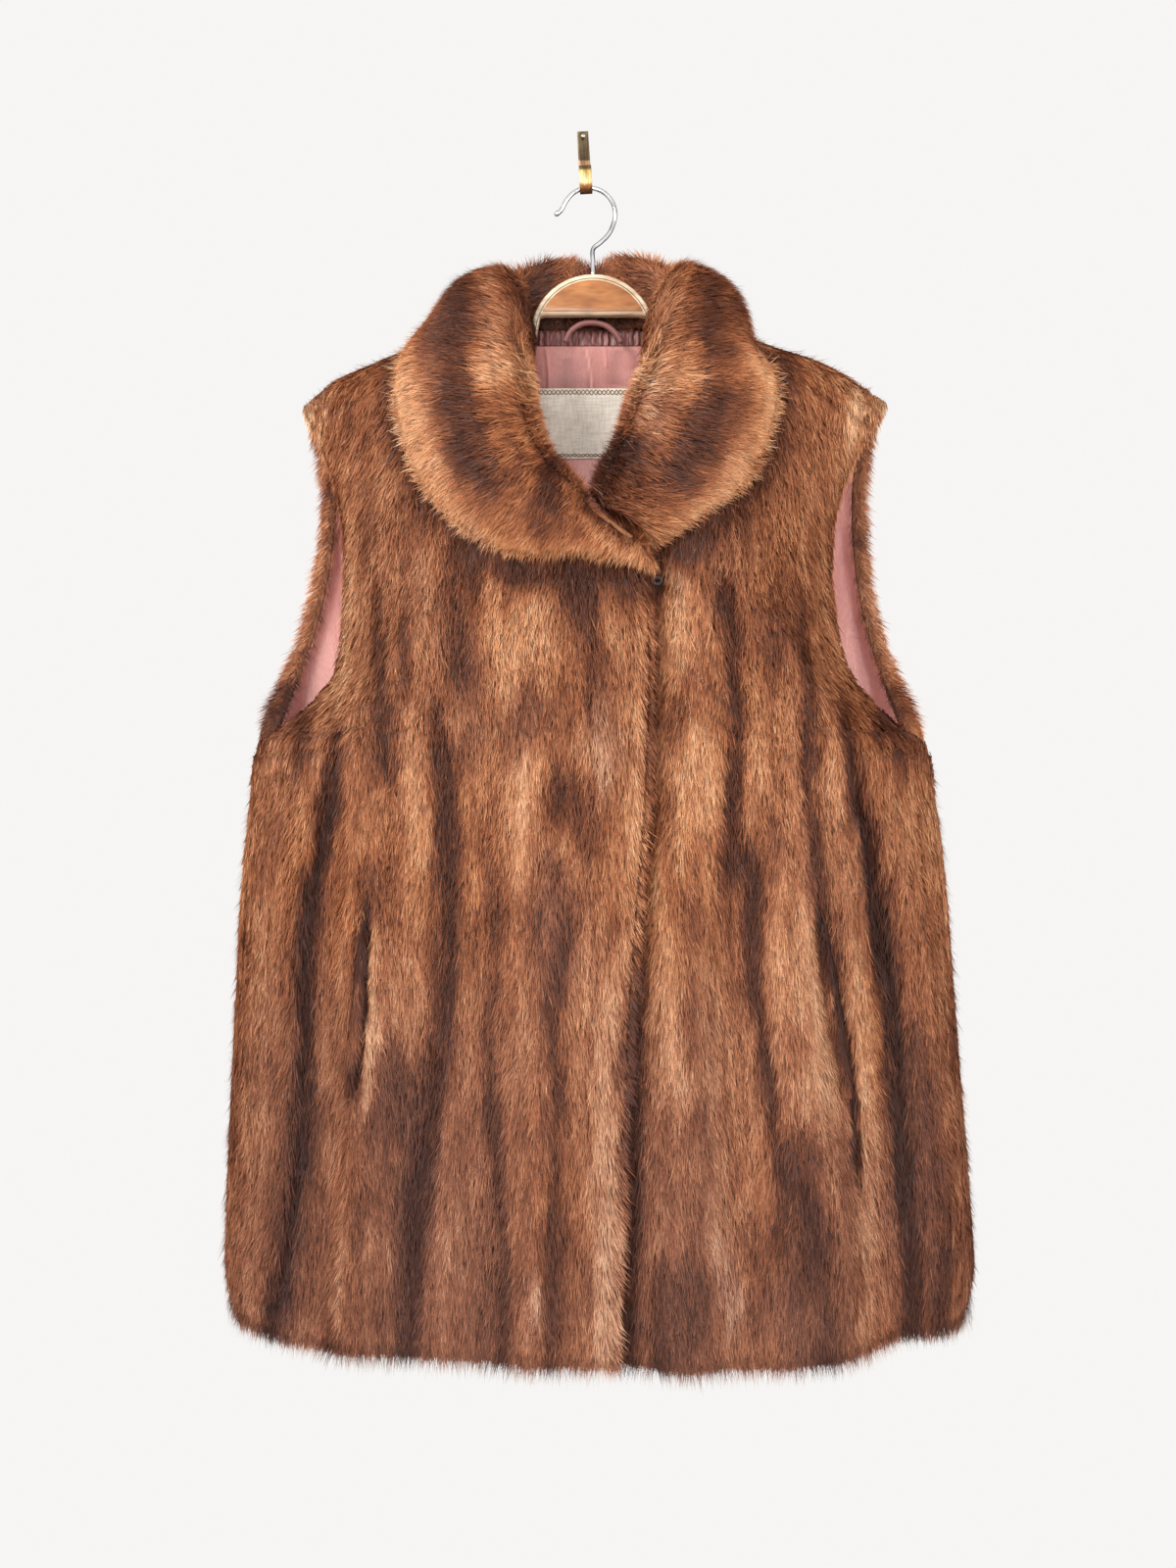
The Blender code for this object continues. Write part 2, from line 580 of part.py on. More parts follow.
def collar(name, fronts, look):
    """The rolled collar: a wall bent over into a roll, with two feet, swept round the neck."""
    rows = np.array(COLLAR, float) * MM
    for row, side in zip(rows, ["left"] * 10 + ["right"] * 10):
        for foot in (0, 3):
            depth = -row[foot + 1]
            if depth == 0:
                depth = depth_on(fronts[side], row[foot], row[foot + 2]) - 1.0 * MM
            row[foot + 1] = depth
        row[7] = -row[7]
    at = np.linspace(0, len(rows) - 1, COLLAR_STATIONS)
    rows = np.stack([spline(np.arange(len(rows)), rows[:, c], at) for c in range(9)], axis=1)
    angle = np.linspace(0, math.pi, COLLAR_ACROSS)
    cosine = np.sign(np.cos(angle)) * np.abs(np.cos(angle)) ** (2 / COLLAR_SQUARENESS)
    rise = (1 - np.abs(cosine) ** COLLAR_SQUARENESS) ** (1 / COLLAR_SQUARENESS)
    share = ((1 - cosine) / 2) ** (1 / COLLAR_CREST_SKEW)
    outer = np.zeros((len(rows), COLLAR_ACROSS, 3))
    inner = np.zeros_like(outer)
    for i, row in enumerate(rows):
        foot_in, foot_out, roll = row[0:3], row[3:6], row[6:9]
        chord = foot_out - foot_in
        tall = np.linalg.norm(roll)
        level = chord - roll * np.dot(chord, roll) / tall ** 2
        thick = min(COLLAR_WALL, 0.4 * np.linalg.norm(level), 0.62 * tall)
        step = level / np.linalg.norm(level) * thick
        for j in range(COLLAR_ACROSS):
            outer[i, j] = foot_in + chord * share[j] + roll * rise[j]
            inner[i, j] = foot_in + step + (chord - 2 * step) * share[j] + roll * (1 - thick / tall) * rise[j]
        side = "left" if i < len(rows) / 2 else "right"
        for face in (outer, inner):
            for j in range(COLLAR_ACROSS):
                face[i, j] = clear_of_body(face[i, j], fronts[side], side)
    return wall(name, outer, inner, look)


def clear_of_body(point, front, side):
    """Move a point of the collar off the front or the back that it lies on."""
    x, y, z = point
    if z > shoulder_line(x):
        return point
    over = side == "left"
    neckline = table(FRONT_EDGE, "over" if over else "under", z)
    outside = neckline - x if over else x - neckline
    if y < -SHOULDER_SEAM and outside > 0:
        y = min(y, depth_on(front, x, z) - COLLAR_CLEAR)
    if y > -SHOULDER_SEAM and abs(x - CENTRE_X) > BACK_NECK_HALF + 5 * MM:
        y = max(y, float(back_surface(x, z)) + COLLAR_CLEAR)
    return np.array([x, y, z])


def hanger_profile(reach):
    """Heights of the hanger's top and underside at a distance from its middle."""
    arm = (reach - HANGER_ARM_START) / (HANGER_HALF - HANGER_ARM_START)
    arm_top = HANGER_ARM_TOP[0] + (HANGER_ARM_TOP[1] - HANGER_ARM_TOP[0]) * arm
    tall = HANGER_ARM_TALL[0] + (HANGER_ARM_TALL[1] - HANGER_ARM_TALL[0]) * max(arm, 0)
    if reach >= HANGER_ARM_START:
        return arm_top, arm_top - tall
    top = max(CROWN_CENTRE_Z + math.sqrt(CROWN_RADIUS ** 2 - reach ** 2), arm_top)
    down = ease((reach - 0.86 * HANGER_ARM_START) / (0.14 * HANGER_ARM_START))
    return top, CROWN_FOOT + (HANGER_ARM_TOP[0] - HANGER_ARM_TALL[0] - CROWN_FOOT) * down


def hanger(name, look):
    """The wooden hanger: rounded sections from one tip, over the crown, to the other."""
    crown = [CROWN_RADIUS * math.sin(a) for a in np.linspace(0, math.radians(66), 9)]
    arms = [HANGER_ARM_START + d * MM for d in (-0.6, 4, 20, 50, 90, 130)] + [HANGER_HALF - 4 * MM, HANGER_HALF]
    reach = crown + arms
    places = [-r for r in reversed(reach)] + reach[1:]
    points, faces = [], []
    for place in places:
        top, foot = hanger_profile(abs(place))
        tip = ease((abs(place) - HANGER_HALF + 5 * MM) / (5 * MM))
        arm = max(0.0, abs(place) - HANGER_ARM_START) / (HANGER_HALF - HANGER_ARM_START)
        half = HANGER_THICK / 2 * (1 - 0.3 * tip)
        top, foot = top - 3 * MM * tip, foot + 3 * MM * tip
        y = HANGER_Y - HANGER_BOW * arm ** 1.5
        soft = 1.8 * MM
        section = [(-half, foot + soft), (-half, top - soft), (-half + soft, top), (half - soft, top),
                   (half, top - soft), (half, foot + soft), (half - soft, foot), (-half + soft, foot)]
        points += [(CENTRE_X + place, y + dy, z) for dy, z in section]
    count = 8
    for i in range(len(places) - 1):
        for k in range(count):
            a, b = i * count, (i + 1) * count
            faces.append([a + k, a + (k + 1) % count, b + (k + 1) % count, b + k])
    faces.append(list(range(count))[::-1])
    faces.append([(len(places) - 1) * count + k for k in range(count)])
    return solid(name, points, faces, look)


def hanger_panel(name, look):
    """The honey-coloured face inside the crown's pale rim."""
    radius = CROWN_RADIUS - RIM_WIDE
    foot = CROWN_FOOT + 2.4 * MM
    half_angle = math.acos((foot - CROWN_CENTRE_Z) / radius)
    outline = [(radius * math.sin(a), CROWN_CENTRE_Z + radius * math.cos(a))
               for a in np.linspace(-half_angle, half_angle, 19)]
    face_y = HANGER_Y - HANGER_THICK / 2 - 0.3 * MM
    points = [(CENTRE_X + x, y, z) for y in (face_y, face_y - PANEL_THICK) for x, z in outline]
    count = len(outline)
    faces = [list(range(count)), [count + k for k in reversed(range(count))]]
    faces += [[(k + 1) % count, k, count + k, count + (k + 1) % count] for k in range(count)]
    return solid(name, points, faces, look)


def hanger_hook(name, look):
    """The chrome wire: up from the crown, round the loop, and out in a small turned tip."""
    cx, cz = HOOK_CENTRE
    crown_top = CROWN_CENTRE_Z + CROWN_RADIUS + 0.5 * MM
    loop = [(cx + HOOK_RADIUS * math.cos(a), cz + HOOK_RADIUS * math.sin(a))
            for a in np.radians(np.linspace(-22, 150, 8))]
    route = [(CENTRE_X, crown_top), (CENTRE_X, (crown_top + HOOK_NECK_Z) / 2), (CENTRE_X, HOOK_NECK_Z)]
    route += [(CENTRE_X + x * MM, z * MM) for x, z in HOOK_NECK]
    route += loop + [(x * MM, z * MM) for x, z in HOOK_TIP]
    turned = HOOK_NECK_Z + 30 * MM
    lean = [(x, HOOK_Y + (HANGER_Y - HOOK_Y) * ease((turned - z) / (turned - crown_top)), z) for x, z in route]
    count = 44
    path = smooth_path(lean, count)
    radii = [WIRE_RADIUS] * count
    radii[-2], radii[-1] = WIRE_RADIUS * 1.25, WIRE_RADIUS * 0.8
    return swept(name, path, radii, 10, look)


def wall_hook(name, look):
    """A brass strip down the wall, round under the wire and up again, leaning a little on its nail."""
    bend = (BRASS_REACH - BRASS_THICK / 2) / 2
    turn_y = -BRASS_THICK / 2 - bend
    middle = [(-BRASS_THICK / 2, BRASS_TOP), (-BRASS_THICK / 2, BRASS_BEND_Z)]
    middle += [(turn_y + bend * math.cos(a), BRASS_BEND_Z - bend * math.sin(a))
               for a in np.linspace(0, math.pi, 11)[1:]]
    middle += [(turn_y - bend, BRASS_LIP)]
    points, faces = [], []
    for i, (y, z) in enumerate(middle):
        before, after = middle[max(i - 1, 0)], middle[min(i + 1, len(middle) - 1)]
        along = Vector((after[0] - before[0], after[1] - before[1])).normalized()
        out = Vector((-along.y, along.x)) * BRASS_THICK / 2
        if i < 2:
            out = Vector((BRASS_THICK / 2, 0))
        narrow = 0.9 if i == 0 else 1.0
        for x, sign in ((-1, 1), (1, 1), (1, -1), (-1, -1)):
            points.append((x * BRASS_WIDE / 2 * narrow, y + out.x * sign, z + out.y * sign))
    for i in range(len(middle) - 1):
        for k in range(4):
            a, b = 4 * i, 4 * (i + 1)
            faces.append([a + k, a + (k + 1) % 4, b + (k + 1) % 4, b + k])
    faces.append([0, 1, 2, 3][::-1])
    faces.append([len(points) - 4 + k for k in range(4)])
    lean = Matrix.Rotation(-BRASS_LEAN, 4, "Y")
    return solid(name, [lean @ Vector(p) for p in points], faces, look, smooth=False)


def nail(name, look):
    """The nail's domed head, in front of the strip's top."""
    path = [(0, -out * MM, NAIL_Z + 0.25 * out * MM) for out, _ in NAIL]
    return swept(name, path, [radius * MM for _, radius in NAIL], 12, look)


def pocket_welt(name, grid, head, foot, wide, look):
    """A narrow raised edge of fur along a pocket's opening."""
    steps = 9
    near = np.zeros((4, steps, 3))
    far = np.zeros_like(near)
    for j in range(steps):
        share = j / (steps - 1)
        narrow = math.sin(math.pi * min(max(share, 0.06), 0.94)) ** 0.4
        x = (foot[0] + (head[0] - foot[0]) * share) * MM
        z = (foot[1] + (head[1] - foot[1]) * share) * MM
        for i in range(4):
            across = x + (i / 3 - 0.5) * wide * MM * narrow
            y = depth_on(grid, across, z) - WELT_CLEAR
            near[i, j] = (across, y, z)
            far[i, j] = (across, y - WELT_WALL * (0.55 if i in (0, 3) else 1.0), z)
    return wall(name, far, near, look)


def label(name, grid, look):
    """The woven label over the lining's top, left bare."""
    wide, tall = LABEL_SIZE
    xs = LABEL_MIDDLE_X + np.linspace(-wide / 2, wide / 2, 9)
    zs = YOKE_FOOT - 0.4 * MM - np.linspace(tall, 0, 4)
    return patch(name, grid, xs, zs, LABEL_CLEAR, LABEL_WALL, look)


def hanging_loop(name, look):
    """The satin tube that arches from the yoke's top edge, under the hanger."""
    count = 17
    path = smooth_path(np.array(LOOP) * MM, count)
    return swept(name, path, [LOOP_RADIUS] * count, 8, look)


def fur_eye(name, grid, look):
    """The covered ring that the fur hook catches, at the edge of the under front."""
    x, z, half_wide, half_tall, thread = EYE
    y = depth_on(grid, x, z) - EYE_CLEAR
    path = [(x + half_wide * math.cos(a), y, z + half_tall * math.sin(a))
            for a in np.linspace(0, 2 * math.pi, 13)[:-1]]
    return swept(name, path, [thread] * len(path), 6, look, closed=True)


def main():
    clear_scene()
    fur = material("fur", (0.30, 0.155, 0.085), 0.75)
    satin = material("rose satin", (0.42, 0.20, 0.20), 0.45)
    paper = material("label cloth", (0.72, 0.68, 0.60), 0.8)
    pale_wood = material("pale wood", (0.74, 0.55, 0.36), 0.35)
    honey_wood = material("honey wood", (0.62, 0.30, 0.11), 0.3)
    chrome = material("chrome", (0.75, 0.75, 0.76), 0.15, 1.0)
    brass = material("brass", (0.62, 0.46, 0.20), 0.25, 1.0)
    dark = material("dark cord", (0.05, 0.03, 0.03), 0.7)

    left_outer, left_inner, _ = fur_front("front_right_over", "left", fur)
    right_outer, right_inner, _ = fur_front("front_left_under", "right", fur)
    back_outer, back_inner, _ = fur_back("back", fur)
    collar("collar", {"left": left_outer, "right": right_outer}, fur)
    for name, (panel, head, foot, wide) in POCKETS.items():
        grid = left_outer if panel == "front_left" else right_outer
        pocket_welt(name, grid, head, foot, wide, fur)
    back_lining("back_lining", back_inner, satin)
    neck_yoke("neck_yoke", back_inner, satin)
    ruched_band("ruched_band", back_inner, satin)
    label("label", back_inner, paper)
    hanging_loop("hanging_loop", satin)
    fur_eye("fur_eye", right_outer, dark)
    hanger("hanger", pale_wood)
    hanger_panel("hanger_panel", honey_wood)
    hanger_hook("hanger_hook", chrome)
    wall_hook("wall_hook", brass)
    nail("nail", brass)


main()
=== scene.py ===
"""The looks of a fur vest on a wooden hanger: fur, satin, label, wood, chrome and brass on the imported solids.

Metres, +Z up. The vest hangs on a wall at y = 0 and its fronts face -Y. MM turns millimetres into metres.
Columns and rows are those of the photograph's frame, 1200 x 1600 pixels: seen gives the column and row at
which a place shows, and px_x and px_z give the place that shows at a column and a row.
"""

import math

import bpy
import numpy as np
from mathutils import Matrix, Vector
from mathutils.bvhtree import BVHTree


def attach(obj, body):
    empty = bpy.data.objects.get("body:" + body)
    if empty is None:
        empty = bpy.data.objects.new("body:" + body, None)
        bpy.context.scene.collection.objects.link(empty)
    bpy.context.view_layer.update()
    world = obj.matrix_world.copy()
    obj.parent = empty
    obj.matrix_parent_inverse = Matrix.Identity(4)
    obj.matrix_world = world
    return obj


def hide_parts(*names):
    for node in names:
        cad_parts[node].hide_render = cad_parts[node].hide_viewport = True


MM = 0.001
SEED = 20

CAMERA_PLACE = (4 * MM, -1250 * MM, -535 * MM)
CAMERA_LENS = 34.425
SENSOR_HEIGHT = 36.0
FOCAL_PX = 1530                    # the focal length in pixels of the 1200 x 1600 frame
FRAME_PX = (1200, 1600)
PX = 0.732 * MM                    # the size of a pixel of that frame on the fronts

CENTRE_X = 8 * MM                  # the middle of the neck and of the hanger
BODY_MIDDLE_Y = -62 * MM           # halfway between the fronts and the back
ARMPIT_Z = -530 * MM
ARMHOLE_REACH = (-560 * MM, -270 * MM)  # the heights between which the back has fur beside the armholes
ARMHOLE_INSIDE = 130 * MM          # that fur is always farther than this from the middle
FUR_EYE = (57 * MM, -375 * MM)     # X and Z of its middle

FUR_DEPTH_SHARE = 0.62             # how much of a fur wall is hair, the rest is skin and underfur
FUR_DEPTH_MOST = 7.6 * MM
HAIR_LENGTH = (12.5 * MM, 2.8 * MM)  # mean and spread
HAIR_SHORTEST, HAIR_LONGEST = 7 * MM, 20 * MM
HAIR_SWAY = 0.17                   # how far single hairs turn from the way the fur lies, in radians
HEM_HAIRS = 3800                   # the fine guard hairs along the hem of a front or of the back
HEM_ZONE = 10 * MM                 # how far above the hem they grow
HEM_HIGHEST = -900 * MM            # where a wall has no points at a place across it, its hem is taken as this
WALL_NEAR = 4 * MM                 # fur closer to the room's wall than this is pressed flatter

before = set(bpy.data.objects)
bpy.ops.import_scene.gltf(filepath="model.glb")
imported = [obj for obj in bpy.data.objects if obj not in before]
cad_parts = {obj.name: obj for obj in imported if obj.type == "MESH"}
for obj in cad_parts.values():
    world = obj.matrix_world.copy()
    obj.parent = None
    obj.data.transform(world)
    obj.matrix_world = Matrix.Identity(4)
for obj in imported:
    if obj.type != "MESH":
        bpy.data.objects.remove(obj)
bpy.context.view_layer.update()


# ---------------------------------------------------------------- helpers


def px_x(column, y=-0.135):
    """X of a column of the photograph's frame, at a depth y."""
    return CAMERA_PLACE[0] + (column - FRAME_PX[0] / 2) * (y - CAMERA_PLACE[1]) / FOCAL_PX


def px_z(row, y=-0.135):
    """Z of a row of the photograph's frame, at a depth y."""
    return CAMERA_PLACE[2] + (FRAME_PX[1] / 2 - row) * (y - CAMERA_PLACE[1]) / FOCAL_PX


def seen(points):
    """The column and row of the photograph's frame at which places show."""
    scale = FOCAL_PX / (points[:, 1] - CAMERA_PLACE[1])
    return (FRAME_PX[0] / 2 + (points[:, 0] - CAMERA_PLACE[0]) * scale,
            FRAME_PX[1] / 2 - (points[:, 2] - CAMERA_PLACE[2]) * scale)


def unit(vectors):
    return vectors / (np.linalg.norm(vectors, axis=-1, keepdims=True) + 1e-12)


def ease(value):
    value = np.clip(value, 0.0, 1.0)
    return value * value * (3 - 2 * value)


def lattice(cells, seed):
    """A repeatable random number from -1 to 1 for each whole-numbered cell."""
    with np.errstate(over="ignore"):
        key = cells[..., 0] * np.int64(374761393) + cells[..., 1] * np.int64(668265263)
        key = key + cells[..., 2] * np.int64(2147483647) + np.int64(seed * 974711)
        key = (key ^ (key >> np.int64(13))) * np.int64(1274126177)
        key = key ^ (key >> np.int64(16))
    return (key & np.int64(0xFFFF)).astype(float) / 32767.5 - 1.0


def noise(points, size, seed):
    """Smooth noise from about -1 to 1. size is the size of its lumps along X, Y and Z."""
    place = points / np.asarray(size, float)
    cell = np.floor(place).astype(np.int64)
    share = place - cell
    share = share * share * (3 - 2 * share)
    total = np.zeros(len(points))
    for corner in range(8):
        step = np.array([corner & 1, corner >> 1 & 1, corner >> 2 & 1])
        weight = np.prod(np.where(step, share, 1 - share), axis=1)
        total += weight * lattice(cell + step, seed)
    return total


def new_object(name, points, faces, looks, slots=None):
    """A mesh object that rides on the one body of the part. looks is its materials, slots a number a face."""
    mesh = bpy.data.meshes.new(name)
    mesh.from_pydata([tuple(p) for p in points], [], [tuple(f) for f in faces])
    mesh.update()
    for look in looks if isinstance(looks, (list, tuple)) else [looks]:
        mesh.materials.append(look)
    if slots is not None:
        mesh.polygons.foreach_set("material_index", np.asarray(slots, np.int32))
    mesh.shade_smooth()
    made = bpy.data.objects.new(name, mesh)
    bpy.context.scene.collection.objects.link(made)
    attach(made, "root")
    return made


# ---------------------------------------------------------------- materials


def new_material(name):
    made = bpy.data.materials.new(name)
    made.use_nodes = True
    nodes, links = made.node_tree.nodes, made.node_tree.links
    return made, nodes, links, nodes["Principled BSDF"]


def set_inputs(node, values):
    for key, value in values.items():
        node.inputs[key].default_value = value


def ramp(nodes, links, value, stops):
    """A colour ramp fed by value. stops is [(place, (r, g, b))]."""
    made = nodes.new("ShaderNodeValToRGB")
    elements = made.color_ramp.elements
    for i, (place, colour) in enumerate(stops):
        element = elements[i] if i < 2 else elements.new(place)
        element.position = place
        element.color = (*colour, 1.0)
    links.new(value, made.inputs["Fac"])
    return made.outputs["Color"]


def noise_node(nodes, links, scale, stretch=(1, 1, 1), detail=3.0, distortion=0.0):
    """Noise in the object's own coordinates, stretched along its axes."""
    coordinates = nodes.new("ShaderNodeTexCoord")
    mapping = nodes.new("ShaderNodeMapping")
    mapping.inputs["Scale"].default_value = stretch
    links.new(coordinates.outputs["Object"], mapping.inputs["Vector"])
    made = nodes.new("ShaderNodeTexNoise")
    set_inputs(made, {"Scale": scale, "Detail": detail, "Distortion": distortion})
    links.new(mapping.outputs["Vector"], made.inputs["Vector"])
    return made.outputs["Fac"]


def mixed(nodes, links, kind, share, first, second):
    """A colour mix of two colours or sockets. share is a number or a socket."""
    made = nodes.new("ShaderNodeMix")
    made.data_type = "RGBA"
    made.blend_type = kind
    for key, value in ((0, share), (6, first), (7, second)):
        if isinstance(value, bpy.types.NodeSocket):
            links.new(value, made.inputs[key])
        elif key == 0:
            made.inputs[key].default_value = value
        else:
            made.inputs[key].default_value = (*value, 1.0)
    return made.outputs[2]


def axes(nodes, links, which):
    """The X, Y and Z sockets of one kind of texture coordinate."""
    coordinates = nodes.new("ShaderNodeTexCoord")
    split = nodes.new("ShaderNodeSeparateXYZ")
    links.new(coordinates.outputs[which], split.inputs["Vector"])
    return split.outputs


def bumped(nodes, links, shader, height, strength, distance):
    made = nodes.new("ShaderNodeBump")
    set_inputs(made, {"Strength": strength, "Distance": distance})
    links.new(height, made.inputs["Height"])
    links.new(made.outputs["Normal"], shader.inputs["Normal"])


FUR_TONES = (                       # from the darkest patches of the pelt to the palest tufts
    (0.00, (0.060, 0.017, 0.008)),
    (0.25, (0.170, 0.046, 0.016)),
    (0.50, (0.440, 0.142, 0.050)),
    (0.75, (0.780, 0.370, 0.160)),
    (1.00, (1.000, 0.730, 0.460)),
)
MAUVE_TONES = (
    (0.00, (0.075, 0.026, 0.018)),
    (0.50, (0.370, 0.155, 0.095)),
    (1.00, (0.920, 0.640, 0.470)),
)
HAIR_SHADES = ((0.0, (0.34, 0.28, 0.26)), (0.5, (0.88, 0.85, 0.83)), (1.0, (1.50, 1.50, 1.50)))  # root to tip


def pelt_colour(nodes, links):
    """The pelt's colour, from two numbers on each point: tone (dark to pale) and mauve (brown to grey)."""
    sockets = {}
    for name in ("tone", "mauve", "along"):
        node = nodes.new("ShaderNodeAttribute")
        node.attribute_name = name
        sockets[name] = node.outputs["Fac"]
    brown = ramp(nodes, links, sockets["tone"], FUR_TONES)
    grey = ramp(nodes, links, sockets["tone"], MAUVE_TONES)
    return mixed(nodes, links, "MIX", sockets["mauve"], brown, grey), sockets["along"]


def fur_material():
    """Hair, a little darker at its root. along runs from 0 at the root to 1 at the tip."""
    made, nodes, links, shader = new_material("fur_hair")
    colour, along = pelt_colour(nodes, links)
    shade = ramp(nodes, links, along, HAIR_SHADES)
    links.new(mixed(nodes, links, "MULTIPLY", 1.0, colour, shade), shader.inputs["Base Color"])
    set_inputs(shader, {"Roughness": 0.42, "Specular IOR Level": 0.28})
    return made


def underfur_material():
    """The skin side under the hair: the pelt's colour in shade, with fine streaks that run down."""
    made, nodes, links, shader = new_material("underfur")
    streak = noise_node(nodes, links, 60.0, (9, 9, 1), 6.0)
    colour, _ = pelt_colour(nodes, links)
    shade = ramp(nodes, links, streak, ((0.3, (0.30, 0.27, 0.25)), (0.7, (0.68, 0.64, 0.62))))
    links.new(mixed(nodes, links, "MULTIPLY", 1.0, colour, shade), shader.inputs["Base Color"])
    shader.inputs["Roughness"].default_value = 0.9
    bumped(nodes, links, shader, streak, 0.6, 0.002)
    return made


def satin_material(name, low, mid, high):
    """Satin: broad soft creases that run down, a fine grain, a sheen, and shade deep in its folds."""
    made, nodes, links, shader = new_material(name)
    crease_height = noise_node(nodes, links, 16.0, (2.2, 2.2, 0.5), 3.0, 0.6)
    fine = noise_node(nodes, links, 1100.0, (1, 1, 0.25), 2.0)
    # the creases' colour is painted light and shade: darker in their hollows, paler on their crests
    colour = ramp(nodes, links, crease_height, ((0.25, low), (0.5, mid), (0.75, high)))
    tint = ramp(nodes, links, fine, ((0.3, (0.88, 0.86, 0.86)), (0.7, (1.10, 1.10, 1.10))))
    colour = mixed(nodes, links, "MULTIPLY", 1.0, colour, tint)
    shade = nodes.new("ShaderNodeAttribute")
    shade.attribute_name = "shade"
    colour = mixed(nodes, links, "MULTIPLY", shade.outputs["Fac"], colour, (0.22, 0.14, 0.14))
    links.new(colour, shader.inputs["Base Color"])
    set_inputs(shader, {"Roughness": 0.42, "Specular IOR Level": 0.45, "Sheen Weight": 0.35,
                        "Sheen Roughness": 0.35, "Sheen Tint": (1.0, 0.8, 0.8, 1.0)})
    bumped(nodes, links, shader, crease_height, 0.5, 0.004)
    return made


def ribbon_material():
    """The woven label: cream with a fine grid of threads and a little age."""
    made, nodes, links, shader = new_material("label_ribbon")
    age = noise_node(nodes, links, 40.0, (1, 1, 1), 4.0)
    warp = noise_node(nodes, links, 900.0, (1, 1, 0.12), 1.0)
    weft = noise_node(nodes, links, 900.0, (0.12, 1, 1), 1.0)
    colour = ramp(nodes, links, age, ((0.3, (0.80, 0.72, 0.60)), (0.7, (0.96, 0.90, 0.80))))
    threads = mixed(nodes, links, "MIX", 0.5, warp, weft)
    tint = ramp(nodes, links, threads, ((0.35, (0.82, 0.80, 0.78)), (0.65, (1.08, 1.08, 1.08))))
    links.new(mixed(nodes, links, "MULTIPLY", 1.0, colour, tint), shader.inputs["Base Color"])
    set_inputs(shader, {"Roughness": 0.7, "Sheen Weight": 0.2})
    bumped(nodes, links, shader, threads, 0.4, 0.0004)
    return made


# Across the crown's rim, from the panel outwards: millimetres from its outer edge, and the painted shade.
RIM_LINES = ((5.7, 1.0), (4.6, 1.0), (4.4, 0.22), (3.7, 0.22), (3.5, 0.92), (1.2, 1.04), (0.0, 0.94))
RIM_SPAN = 6                        # millimetres
CROWN_RADIUS = 50.7 * MM
CROWN_CENTRE = (CENTRE_X, -173.1 * MM)


def rim_painted_shade(nodes, links):
    """Painted shade for the crown's rim: a pale bead by the panel, the dark of its groove and the pale edge."""
    place = axes(nodes, links, "Object")
    flat = nodes.new("ShaderNodeCombineXYZ")
    links.new(place["X"], flat.inputs["X"])
    links.new(place["Z"], flat.inputs["Z"])
    away = nodes.new("ShaderNodeVectorMath")
    away.operation = "DISTANCE"
    away.inputs[1].default_value = (CROWN_CENTRE[0], 0, CROWN_CENTRE[1])
    links.new(flat.outputs["Vector"], away.inputs[0])
    share = nodes.new("ShaderNodeMapRange")
    set_inputs(share, {"From Min": CROWN_RADIUS - RIM_SPAN * MM, "From Max": CROWN_RADIUS})
    links.new(away.outputs["Value"], share.inputs["Value"])
    stops = [(1 - inward / RIM_SPAN, (shade, shade, shade)) for inward, shade in RIM_LINES]
    return ramp(nodes, links, share.outputs["Result"], stops)


def wood_material(name, dark, mid, pale, stretch, coat, rim=False):
    """Lacquered wood: long grain with cloudy lighter and darker places, and on the rim the painted shade of its
    groove.
    """
    made, nodes, links, shader = new_material(name)
    grain = noise_node(nodes, links, 40.0, stretch, 6.0, 0.8)
    cloud = noise_node(nodes, links, 55.0, (1, 1, 1.6), 2.0, 0.5)
    colour = ramp(nodes, links, grain, ((0.32, dark), (0.5, mid), (0.68, pale)))
    tint = ramp(nodes, links, cloud, ((0.3, (0.84, 0.82, 0.80)), (0.7, (1.12, 1.12, 1.14))))
    colour = mixed(nodes, links, "MULTIPLY", 1.0, colour, tint)
    if rim:
        colour = mixed(nodes, links, "MULTIPLY", 1.0, colour, rim_painted_shade(nodes, links))
    links.new(colour, shader.inputs["Base Color"])
    set_inputs(shader, {"Roughness": 0.38, "Coat Weight": coat, "Coat Roughness": 0.15})
    bumped(nodes, links, shader, grain, 0.12, 0.0006)
    return made


def metal_material(name, dark, mid, bright, roughness, scale, worn):
    """Plated or polished metal with streaks of wear in its colour and its gloss."""
    made, nodes, links, shader = new_material(name)
    streak = noise_node(nodes, links, scale, (1, 1, 1), 4.0, 0.3)
    colour = ramp(nodes, links, streak, ((0.30, dark), (0.5, mid), (0.72, bright)))
    links.new(colour, shader.inputs["Base Color"])
    shader.inputs["Metallic"].default_value = 1.0
    gloss = nodes.new("ShaderNodeMapRange")
    set_inputs(gloss, {"To Min": roughness - worn, "To Max": roughness + worn})
    links.new(streak, gloss.inputs["Value"])
    links.new(gloss.outputs["Result"], shader.inputs["Roughness"])
    return made


# Down the brass hook's strip, from its foot: height in millimetres and colour, much of it painted light and
# shade:
# copper in painted shade under the bend at its foot, a painted glint low on its front limb, painted dark
# reflections above.
STRIP_GLINT_AND_SHADE_BANDS = (
    (-44, (0.30, 0.13, 0.05)),
    (-40, (0.42, 0.22, 0.09)),
    (-38, (0.85, 0.66, 0.34)),
    (-29.5, (0.74, 0.52, 0.20)),
    (-27.5, (0.16, 0.10, 0.05)),
    (-21.5, (0.12, 0.08, 0.05)),
    (-20, (0.44, 0.26, 0.14)),
    (-16.5, (0.46, 0.29, 0.16)),
    (-15, (0.13, 0.09, 0.055)),
    (9, (0.20, 0.15, 0.09)),
)


